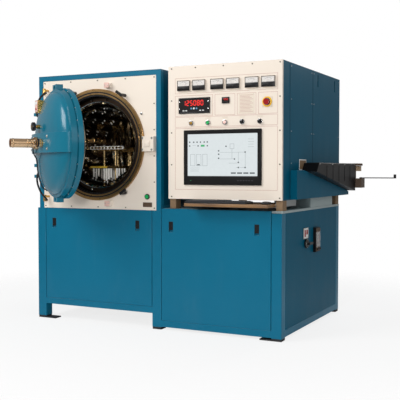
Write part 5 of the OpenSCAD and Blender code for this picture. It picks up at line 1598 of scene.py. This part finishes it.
@dataclass
class Digits:
    """Seven-segment figures made of thin bars on a plane that faces the front."""

    height: float
    stroke: float

    def write(self, text: str, x: float, y: float, z: float) -> Shape:
        """Makes the figures.

        Args:
            text: the figures.
            x: left end of the row.
            y: the face that carries them.
            z: the row's middle.

        Returns:
            The shape that holds their bars.
        """
        shape = Shape()
        width, half = self.height * 0.52, self.height / 2
        level, upright = (width * 0.40, self.stroke / 2), (self.stroke / 2, half * 0.40)
        spots = {
            "a": (0, half, level), "g": (0, 0, level), "d": (0, -half, level),
            "f": (-width / 2, half / 2, upright), "b": (width / 2, half / 2, upright),
            "e": (-width / 2, -half / 2, upright), "c": (width / 2, -half / 2, upright),
        }
        for index, letter in enumerate(text):
            centre = x + (index + 0.5) * width * 1.65
            for key in SEGMENTS[letter]:
                dx, dz, reach = spots[key]
                shape.tile(centre + dx, z + dz, *reach, y, 0.0008, 0.0002, 0.0003, 1)
        return shape


@dataclass
class Meters:
    """Six panel meters: black frame, white dial with a scale, needle and window."""

    width: float = 0.104
    height: float = 0.076
    steps: tuple[float, ...] = (0, 0.125, 0.272, 0.397, 0.544, 0.669)
    needles: tuple[float, ...] = (38, -30, 12, -36, 30, -8)
    radius: float = 0.032
    scale_r: float = 0.038
    sweep: float = 42
    ticks: int = 21

    def __post_init__(self) -> None:
        """Finds the meters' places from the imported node."""
        low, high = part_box("meters")
        self.front = low.y
        middle = (low.z + high.z) / 2
        self.foot, self.top = middle - self.height / 2, middle + self.height / 2
        self.pivot = middle - 0.011
        run = high.x - low.x - self.width
        self.xs = [low.x + self.width / 2 + step * run / self.steps[-1] for step in self.steps]

    def frames(self) -> None:
        """Frame, cover and dial of every meter."""
        frames, covers, dials = Shape(), Shape(), Shape()
        screw = mm(0, 0, 5.8, 0, 5.6, 1.6, 4, 2.4, 0, 2.6)
        y, foot, top = self.front, self.foot, self.top
        for x in self.xs:
            left, right = x - self.width / 2, x + self.width / 2
            for rect in (
                (left, top - 0.004, right, top),
                (left, foot + 0.0345, left + 0.004, top - 0.0035),
                (right - 0.004, foot + 0.0345, right, top - 0.0035),
            ):
                frames.pad(rect, y, 0.0035, 0.0005, 0.0014)
            covers.pad((left, foot, right, foot + 0.035), y, 0.0042, 0.0005, 0.0016)
            covers.lathe(screw, (x, y - 0.0041, foot + 0.0165), FRONT, 20)
            dial = (left + 0.0045, foot + 0.0345, right - 0.0045, top - 0.0045)
            dials.pad(dial, y, 0.0006, 0.0003, 0.0002, 1)
        frames.piece("meter_frames", Finish.INSTRUMENT_BLACK)
        covers.piece("meter_covers", Finish.INSTRUMENT_BLACK)
        dials.piece("meter_dials", Finish.METER_FACE)

    def mark(
        self, shape: Shape, x: float, angle: float, radius: float, half: Point, lift: float, soft: float = 0
    ) -> None:
        """Adds a small bar on a dial, turned about the dial's pivot.

        Args:
            shape: the shape that it joins.
            x: the dial's middle.
            angle: degrees from upright.
            radius: the bar's middle from the pivot.
            half: half its width, thickness and length.
            lift: its middle before the front plane.
            soft: edge radius.
        """
        turn = math.radians(angle)
        z = self.pivot + radius * math.cos(turn)
        centre = Vector((x + radius * math.sin(turn), self.front - lift, z))
        place = Matrix.Rotation(turn, 4, "Y")
        shape.block(centre - Vector(half), centre + Vector(half), soft, 1, place)

    def scales(self) -> None:
        """Tick marks, arcs and needles."""
        marks, needles = Shape(), Shape()
        for x, needle in zip(self.xs, self.needles):
            for i in range(self.ticks):
                angle = self.sweep * (2 * i / (self.ticks - 1) - 1)
                wide, long = (0.0005, 0.0052) if i % 5 == 0 else (0.00035, 0.003)
                self.mark(marks, x, angle, self.scale_r - long / 2, (wide, 0.0002, long / 2), 0.0009)
                self.mark(marks, x, angle, self.scale_r + 0.0002, (0.0017, 0.0002, 0.00035), 0.0009)
            half = (0.0006, 0.0003, self.radius / 2 - 0.002)
            self.mark(needles, x, needle, self.radius / 2 + 0.006, half, 0.0016, 0.0001)
        marks.piece("meter_scales", Finish.INSTRUMENT_BLACK)
        needles.piece("meter_needles", Finish.STOP_RED)

    def windows(self) -> None:
        """Clear windows over the dials."""
        shape = Shape()
        half = self.width / 2 - 0.0058
        for x in self.xs:
            rect = (x - half, self.foot + 0.0347, x + half, self.top - 0.0057)
            shape.pad(rect, self.front, 0.0030, -0.0024, 0.0002, 1)
        shape.piece("meter_windows", Finish.GLASS)

    def build(self) -> None:
        """Makes the meters' pieces."""
        self.frames()
        self.scales()
        self.windows()


@dataclass
class ControlPanel:
    """Controller, limit unit, lamps, buttons, selectors and plates."""

    controller_x: float = 0.379
    controller_z: float = 1.6847
    controller_half: tuple[float, float] = (0.126, 0.0555)
    limit_x: float = 0.633
    limit_z: float = 1.714
    stop_x: float = 0.952
    switch_xs: tuple[float, ...] = (0.355, 0.491, 0.627, 0.763, 0.899)
    label: Rect = (0.735, 1.616, 0.855, 1.754)
    label_rows: int = 13
    line: float = 0.0018
    groups: tuple[Rect, ...] = (
        (0.218, 1.776, 1.031, 1.890), (0.218, 1.609, 0.528, 1.760), (0.545, 1.609, 0.705, 1.760),
        (0.722, 1.609, 0.868, 1.760), (0.885, 1.609, 1.031, 1.760), (0.218, 1.528, 1.031, 1.603),
        (0.218, 1.067, 1.031, 1.520),
    )

    def __post_init__(self) -> None:
        """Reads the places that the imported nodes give."""
        low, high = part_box("start_button")
        self.cap_y, self.switch_z = low.y, (low.z + high.z) / 2
        low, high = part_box("stop_button")
        self.stop_y, self.stop_z = low.y, (low.z + high.z) / 2
        nodes = ("temperature_controller", "control_panel", "switch_collars", "mode_selector")
        self.unit_y, self.face_y, self.collar_y, self.grip_y = (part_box(node)[0].y for node in nodes)

    def controller(self) -> None:
        """Frame, window, red figures, keys, lights and screws of the controller."""
        x, z, y = self.controller_x, self.controller_z, self.unit_y
        wide, tall = self.controller_half
        frame = Shape()
        for rect in rim((x - wide, z - tall, x + wide, z + tall), 0.007, 0.007, 0.0065):
            frame.pad(rect, y, 0.0028, 0.001, 0.0012)
        frame.piece("controller_frame", Finish.KNOB_BLACK)
        window = Shape().pad((x - 0.108, z - 0.008, x + 0.108, z + 0.043), y, 0.0007, 0.0003, 0.0005, 1)
        window.piece("controller_window", Finish.INSTRUMENT_BLACK)
        lit = Digits(0.034, 0.0062).write("125080", x - 0.0945, y - 0.0006, z + 0.0185)
        lit.piece("controller_digits", Finish.DIGIT_RED)
        keys, lights = Shape(), Shape()
        button = mm(0, 0, 7, 0, 7, 1.2, 5, 2.4, 0, 2.6)
        for target, across in ((lights, -0.022), (keys, 0), (lights, 0.022)):
            target.lathe(button, (x + across, y - 0.0001, z - 0.0215), FRONT, 24)
        for across in (-0.085, -0.062, 0.052, 0.076):
            keys.tile(x + across, z - 0.03675, 0.008, 0.00325, y, 0.0024, 0.0004, 0.0014)
        spots = product((x - 0.1175, x + 0.1175), (y - 0.0027,), (z - 0.026, z + 0.026))
        screws = Shape().lathes(mm(0, 0, 5.2, 0, 4.8, 1.4, 2, 2.4, 0, 2.5), spots, FRONT, 20)
        keys.piece("controller_keys", Finish.WHITE_PLATE)
        lights.piece("controller_lights", Finish.SCREEN_BLUE)
        screws.piece("controller_screws", Finish.COLLAR_CHROME)

    def limit_unit(self) -> None:
        """Window, figures and keys of the over-temperature unit."""
        x, z, y = self.limit_x, self.limit_z, self.unit_y
        window = Shape().pad((x - 0.025, z - 0.004, x + 0.025, z + 0.018), y, 0.0008, 0.0003, 0.0008)
        for across in (-0.016, 0, 0.016):
            window.tile(x + across, z - 0.0125, 0.005, 0.0035, y, 0.0020, 0.0004, 0.0012)
        window.piece("limit_window", Finish.KNOB_BLACK)
        lit = Digits(0.012, 0.0018).write("1350", x - 0.0205, y - 0.0007, z + 0.007)
        lit.piece("limit_digits", Finish.DIGIT_RED)

    def lamps(self) -> None:
        """Domed lenses of the two lamps and the start button, and the switches' rims."""
        dome = (0, 0, 12.5, 0, 12.8, 1, 11.8, 4.2, 8, 6.8, 3.6, 8, 0, 8.3)
        for index, finish, body, name, y, scale in (
            (0, Finish.AMBER, "furnace", "lamp_amber", self.collar_y + 0.0006, 0.96),
            (2, Finish.LAMP_PINK, "furnace", "lamp_clear", self.collar_y + 0.0006, 0.96),
            (1, Finish.START_GREEN, "start_push", "start_lens", self.cap_y + 0.0004, 0.82),
        ):
            profile = [(radius * scale, height * 0.55) for radius, height in mm(*dome)]
            lens = Shape().lathe(profile, (self.switch_xs[index], y, self.switch_z), FRONT, 40)
            lens.piece(name, finish, body)
        ring = mm(15.5, 0, 18.8, 0, 19.2, 1.2, 18.2, 2.6, 16.5, 3, 15.5, 2.4)
        spots = [(x, self.face_y - 0.0076, self.switch_z) for x in self.switch_xs]
        rings = Shape().lathes(ring, spots, FRONT, 48, closed=True)
        rings.piece("switch_rims", Finish.COLLAR_CHROME)

    def selectors(self) -> None:
        """Pointer bars on the selectors, with a pale index line."""
        y, z = self.grip_y, self.switch_z
        for x, name in zip(self.switch_xs[3:], ("mode", "pump")):
            grip = Shape().tile(x, z, 0.0048, 0.0155, y, 0.0012, 0.010, 0.0022, 3)
            grip.piece(f"{name}_grip", Finish.KNOB_BLACK, f"{name}_switch")
            line = Shape().tile(x, z + 0.008, 0.0009, 0.006, y, 0.0017, -0.0009, 0.0003, 1)
            line.piece(f"{name}_index", Finish.WHITE_PLATE, f"{name}_switch")

    def stop(self) -> None:
        """Mushroom head, yellow disc and plate of the emergency stop."""
        x, z = self.stop_x, self.stop_z
        cap = (0, 0, 15, 0, 20.5, 0.8, 21.6, 3, 21.2, 8.5, 17.8, 11.8, 11, 13.4, 5, 13.6, 0, 13.6)
        head = Shape().lathe(mm(*cap), (x, self.stop_y + 0.0135, z), FRONT, 56)
        ring = mm(10.8, 0, 12.6, 0, 12.8, 0.9, 10.6, 0.9)
        head.lathe(ring, (x, self.stop_y + 0.0007, z), FRONT, 48, closed=True)
        head.piece("stop_head", Finish.STOP_RED, "stop_push")
        side = mm(27.2, 0, 36.5, 0, 36.5, 1.4, 33, 6.2, 27.6, 7, 27.2, 6.2)
        disc = Shape().lathe(side, (x, self.face_y - 0.0028, z), FRONT, 64, closed=True)
        disc.piece("stop_disc", Finish.STOP_YELLOW)
        plate = Shape().tile(x, z, 0.0385, 0.0385, self.face_y, 0.0034, -0.0002, 0.0012)
        plate.piece("stop_plate_trim", Finish.LABEL_CREAM)

    def plates(self) -> None:
        """Bare label plates, ruled lines, rivets, and lines round the groups."""
        y = self.face_y
        shape = Shape().pad(self.label, y, 0.0014, 0.0002, 0.0006, 1)
        for x in self.switch_xs:
            shape.tile(x, self.switch_z + 0.036, 0.022, 0.006, y, 0.0011, 0.0002, 0.0004, 1)
        for x in Meters().xs:
            shape.tile(x, 1.781, 0.024, 0.0055, y, 0.0011, 0.0002, 0.0004, 1)
        shape.piece("label_plates", Finish.LABEL_CREAM)
        lines = Shape()
        for row in range(self.label_rows):
            foot = 1.626 + row * 0.0098
            lines.pad((0.744, foot, 0.846 - 0.012 * (row % 3), foot + 0.0022), y, 0.0018, -0.0012)
        for group in self.groups:
            for rect in rim(group, self.line, self.line, self.line):
                lines.pad(rect, y, 0.0006, 0.0002)
        lines.piece("group_lines", Finish.LINE_PINK)
        spots = product((0.739, 0.851), (y - 0.0013,), (1.620, 1.750))
        rivets = Shape().lathes(mm(0, 0, 2.2, 0, 1.8, 0.9, 0, 1.2), spots, FRONT, 12)
        rivets.piece("label_rivets", Finish.BOLT_ZINC)

    def build(self) -> None:
        """Makes the control panel's pieces."""
        self.controller()
        self.limit_unit()
        self.lamps()
        self.selectors()
        self.stop()
        self.plates()


@dataclass
class Monitor:
    """Screen with a plain diagram, and keys and lamp on the bezel."""

    relief: float = 0.0006
    line_wide: float = 0.004
    line_tall: float = 0.0075
    readouts: tuple[tuple[float, float], ...] = (
        (0.03, 0.81), (0.09, 0.81), (0.14, 0.81), (0.19, 0.81), (0.245, 0.81), (0.29, 0.81),
        (0.03, 0.72), (0.155, 0.72), (0.29, 0.72), (0.455, 0.595), (0.455, 0.515), (0.455, 0.42),
        (0.56, 0.70), (0.83, 0.56), (0.68, 0.40), (0.735, 0.32), (0.735, 0.20), (0.83, 0.20),
    )
    pipes: tuple[Rect, ...] = (
        (0.07, 0.725, 0.12, 0.732), (0.47, 0.555, 0.82, 0.561), (0.643, 0.40, 0.647, 0.64),
        (0.47, 0.40, 0.66, 0.406), (0.70, 0.197, 0.82, 0.203), (0.733, 0.32, 0.737, 0.555),
        (0.83, 0.22, 0.834, 0.54), (0.60, 0.30, 0.72, 0.306),
    )

    def __post_init__(self) -> None:
        """Reads the screen's place."""
        self.low, self.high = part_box("monitor_screen")
        self.x = (self.low.x + self.high.x) / 2

    def bars(self, shape: Shape, *rows: Rect) -> None:
        """Adds flat bars on the screen.

        Args:
            shape: the shape that they join.
            rows: left, low, right and high of each, as shares of the screen.
        """
        corner, size = self.low, self.high - self.low
        for left, low, right, high in rows:
            xs = [corner.x + share * size.x for share in (left, right)]
            zs = [corner.z + share * size.z for share in (low, high)]
            shape.pad((xs[0], zs[0], xs[1], zs[1]), corner.y, self.relief, 0.0001)

    def diagram(self) -> None:
        """Generic boxes, pipes and read-outs."""
        lines, dark, green = Shape(), Shape(), Shape()
        for across, up in self.readouts:
            self.bars(dark, (across - 0.009, up - 0.015, across + 0.009, up + 0.015))
        self.bars(dark, (0.14, 0.255, 0.18, 0.28))
        self.bars(green, (0.195, 0.70, 0.25, 0.745))
        self.bars(lines, *self.pipes)
        tanks = [(left, 0.24, left + 0.07, 0.52) for left in (0.04, 0.13, 0.22)]
        for rect in ((0.615, 0.64, 0.675, 0.76), *tanks):
            self.bars(lines, *rim(rect, self.line_wide, self.line_tall, 0))
        for i in range(4):
            self.bars(dark, (0.63 + i * 0.088, 0.055, 0.70 + i * 0.088, 0.085))
            self.bars(lines, (0.87, 0.68 + i * 0.06, 0.95, 0.686 + i * 0.06))
            self.bars(lines, (0.04, 0.10 + i * 0.03, 0.17, 0.104 + i * 0.03))
        lines.piece("screen_lines", Finish.SCREEN_LINE)
        dark.piece("screen_blocks", Finish.SCREEN_DARK)
        green.piece("screen_panel", Finish.SCREEN_GREEN)

    def bezel(self) -> None:
        """Keys and lamp under the screen."""
        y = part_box("monitor_case")[0].y
        keys = Shape()
        for i in range(6):
            keys.tile(self.x + 0.130 + i * 0.022, self.low.z - 0.033, 0.0075, 0.003, y, 0.0022, 0.001, 0.0015)
        keys.piece("monitor_keys", Finish.KEY_CAP)
        at = (self.x - 0.250, y + 0.0003, self.low.z - 0.033)
        lamp = Shape().lathe(mm(0, 0, 2.6, 0, 2.2, 1.2, 0, 1.6), at, FRONT, 16)
        lamp.piece("monitor_lamp", Finish.SCREEN_GREEN)

    def build(self) -> None:
        """Makes the monitor's pieces."""
        self.diagram()
        self.bezel()


class KeyBlock(Enum):
    """A block of keys: its start and its length, as shares of the keyboard."""

    MAIN = (0.02, 0.62)
    ARROWS = (0.665, 0.115)
    FIGURES = (0.80, 0.175)


@dataclass
class Desk:
    """Keyboard tray and keys, mouse, and the shelf's edge band."""

    body: str = "keyboard_drawer"
    key_pitch: float = 0.0188
    key_width: float = 0.0192
    key_gap: float = 0.0010
    rows: int = 6

    def span(self, block: KeyBlock, row: int, key: int, count: int) -> int:
        """How many places a key takes up.

        Args:
            block: the block that it belongs to.
            row: the row, from the front.
            key: the place in the row.
            count: places in the row.

        Returns:
            The number of places, or 0 where there is no key.
        """
        if block is KeyBlock.ARROWS and row == 1 and key != count // 2:
            return 0
        if block is KeyBlock.MAIN and row == 0 and key == 4:
            return 6
        wide = block is KeyBlock.MAIN and row in (1, 2, 3) and key in (0, count - 2)
        return 2 if wide else 1

    def keyboard(self) -> None:
        """A tray with separate keys, in place of the CAD keyboard, and a pad under it."""
        low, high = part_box("keyboard")
        tray = Shape().block(low, (high.x, high.y, low.z + 0.013), 0.0035, 3)
        start = (low.x + 0.004, high.y - 0.022, low.z + 0.012)
        tray.block(start, (high.x - 0.004, high.y - 0.003, low.z + 0.0165), 0.0025)
        tray.piece("keyboard_tray", Finish.KEYBOARD_BLACK, self.body, ["keyboard"])
        caps = Shape()
        run = high.x - low.x
        for row, block in product(range(self.rows), KeyBlock):
            start, share = block.value
            y = low.y + 0.006 + row * self.key_pitch + (0.004 if row == self.rows - 1 else 0)
            count = max(2, round(share * run / self.key_width))
            step = share * run / count
            key = 0
            while key < count:
                span = self.span(block, row, key, count)
                if span:
                    left = low.x + start * run + key * step
                    right = left + span * step - self.key_gap
                    far = (right, y + self.key_pitch - 0.0022, low.z + 0.0205)
                    caps.block((left + self.key_gap, y, low.z + 0.0125), far, 0.0022, 1)
                key += span or 1
        caps.piece("keyboard_keys", Finish.KEY_CAP, self.body)
        start = (low.x + 0.03, low.y + 0.01, low.z + 0.0001)
        pad = Shape().block(start, (low.x + 0.07, low.y + 0.02, low.z + 0.0012), 0.0004)
        pad.piece("keyboard_pads", Finish.RUBBER_AND_PAINTED_SHADE, self.body)

    def mouse(self) -> None:
        """Arched body and wheel."""
        low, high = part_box("mouse")
        centre, size = (low + high) / 2, high - low
        shape = Shape().block(low, high)
        bmesh.ops.subdivide_edges(shape.mesh, edges=shape.mesh.edges[:], cuts=3, use_grid_fill=True)
        for vertex in shape.mesh.verts:
            along = (vertex.co.y - centre.y) / size.y * 2
            side = (vertex.co.x - centre.x) / size.x * 2
            if vertex.co.z > centre.z - 0.002:
                vertex.co.z -= size.z * (0.30 * along * along + 0.16 * side * side)
            vertex.co.x -= (vertex.co.x - centre.x) * 0.16 * along * along
        shape.piece("mouse_body", Finish.MOUSE_BLACK, self.body, ["mouse"], level=2, smooth=180)
        tyre = mm(0, 0, 5.8, 0, 6.8, 1, 6.8, 5, 5.8, 6, 0, 6)
        wheel = Shape().lathe(tyre, (centre.x - 0.003, low.y + 0.026, high.z - 0.0078), RIGHT, 24)
        wheel.piece("mouse_wheel", Finish.KEY_CAP, self.body)

    def shelf(self) -> None:
        """Edge band along the shelf's front."""
        low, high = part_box("keyboard_shelf")
        rect = (low.x + 0.004, low.z + 0.003, high.x - 0.004, high.z - 0.003)
        band = Shape().pad(rect, low.y, 0.0016, 0.001, 0.0014)
        band.piece("shelf_edge_band", Finish.SHELF_BROWN, self.body)

    def build(self) -> None:
        """Makes the desk's pieces."""
        self.keyboard()
        self.mouse()
        self.shelf()


ASSEMBLIES = (
    Carcass, Stage, Door, Chamber, FurnaceFront, Meters, ControlPanel, Monitor, Desk, Base, SideUnit, Rear
)


def main() -> None:
    """Builds every sub-assembly in order and reports its pieces."""
    logging.basicConfig(level=logging.INFO, format="%(message)s")
    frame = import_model()
    RECORD_SLOTS.update(entry["slot"] for entry in frame["record"]["materials"])
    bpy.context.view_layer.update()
    Carcass().dress_nodes(frame["nodes"])
    for assembly in ASSEMBLIES:
        known = set(bpy.data.objects.keys())
        assembly().build()
        for name in sorted(set(bpy.data.objects.keys()) - known):
            LOG.info("%s: %s", assembly.__name__, name)


if __name__ == "__main__":
    main()
